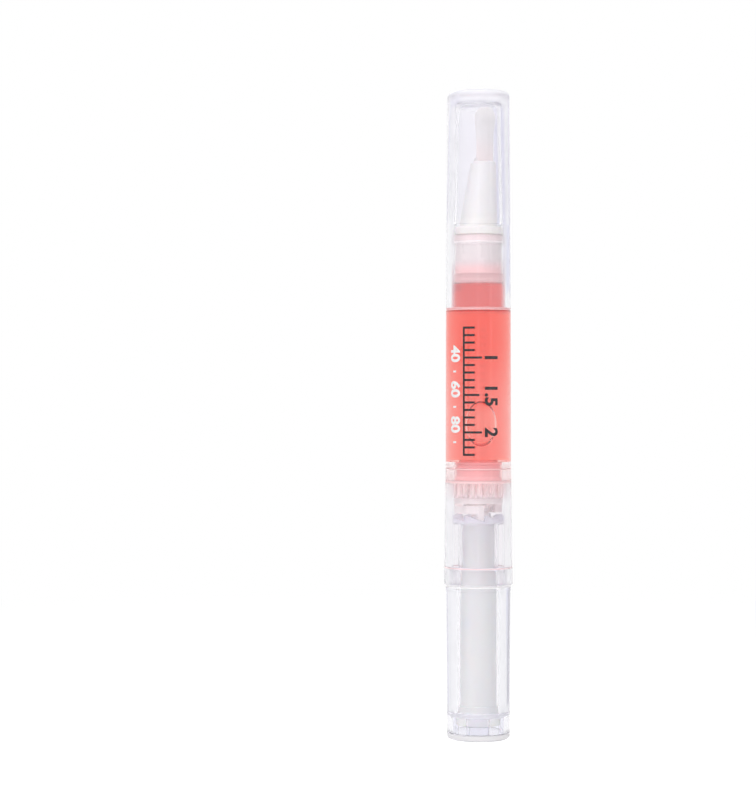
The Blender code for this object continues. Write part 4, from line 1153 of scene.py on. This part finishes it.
class PEN_OT_stage(bpy.types.Operator):
    """Makes the floor, the lamps, the shading cards, the white surroundings and the camera"""

    bl_idname = "brush_pen.stage"
    bl_label = "Stage"

    def execute(self, context):
        scene = context.scene
        studio = scene.pen_studio
        make_floor(studio.floor)
        make_lamp("key", (-0.55, -0.75, 0.65), (0.45, 0.45), studio.lamp)
        make_lamp("fill", (0.7, -0.5, 0.45), (0.5, 0.5), 0.2 * studio.lamp)
        make_lamp("back", (-0.2, 0.8, 0.7), (0.6, 0.6), 0.6 * studio.lamp)
        make_lamp("strip", (-0.022, -0.45, 0.1), (0.06, 0.3), 0.018 * studio.lamp)
        make_lamp("side_strip", (0.307, -0.329, 0.1), (0.06, 0.3), 0.018 * studio.lamp)
        make_lamp("brow", (-0.02, -0.40, 0.36), (0.16, 0.24), 0.25 * studio.lamp)
        make_card("right_edge_card", (-0.001, 0.0065), (-0.001, 0.0080), (0.0032, 0.0287), 0.34)
        make_card("left_edge_card", (0.001, 0.0063), (0.001, 0.0070), (0.0032, 0.0287), 0.74)
        make_card("right_card", (0.020, 0.060), (0.080, 0.060), (0.09, 0.17), 0.72)
        make_world(scene, studio.sky)
        make_camera(scene, studio)
        scene.view_settings.view_transform = "Standard"
        scene.cycles.max_bounces = 96
        scene.cycles.diffuse_bounces = 24
        scene.cycles.transmission_bounces = 96
        scene.cycles.transparent_max_bounces = 48
        scene.cycles.glossy_bounces = 12
        return {"FINISHED"}


MAKERS = (
    PEN_OT_cap, PEN_OT_barrel, PEN_OT_knob, PEN_OT_mechanism, PEN_OT_oil, PEN_OT_brush, PEN_OT_scale,
    PEN_OT_stage,
)


class PEN_PT_panel(bpy.types.Panel):
    """Lists the pen's pieces and their sizes"""

    bl_idname = "PEN_PT_panel"
    bl_label = "Brush Pen"
    bl_space_type = "VIEW_3D"
    bl_region_type = "UI"
    bl_category = "Brush Pen"

    def draw(self, context):
        for operator in MAKERS:
            self.layout.operator(operator.bl_idname)
        for name, group in GROUPS.items():
            box = self.layout.box()
            box.label(text=group.__doc__)
            for setting in group.__annotations__:
                box.prop(getattr(context.scene, name), setting)


def register():
    """Adds the classes and the scene's settings."""
    for group in (*GROUPS.values(), *MAKERS, PEN_PT_panel):
        bpy.utils.register_class(group)
    for name, group in GROUPS.items():
        setattr(bpy.types.Scene, name, bpy.props.PointerProperty(type=group))


def unregister():
    """Removes what register added."""
    for name in GROUPS:
        delattr(bpy.types.Scene, name)
    for group in (PEN_PT_panel, *reversed(MAKERS), *GROUPS.values()):
        bpy.utils.unregister_class(group)


def main():
    """Registers the classes, makes every piece, and removes the default cube, light and camera."""
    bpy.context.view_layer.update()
    register()
    for operator in MAKERS:
        group, name = operator.bl_idname.split(".")
        getattr(getattr(bpy.ops, group), name)()
    for thing in list(bpy.data.objects):
        if thing.name in ("Cube", "Light", "Camera"):
            bpy.data.objects.remove(thing, do_unlink=True)


if __name__ == "__main__":
    main()
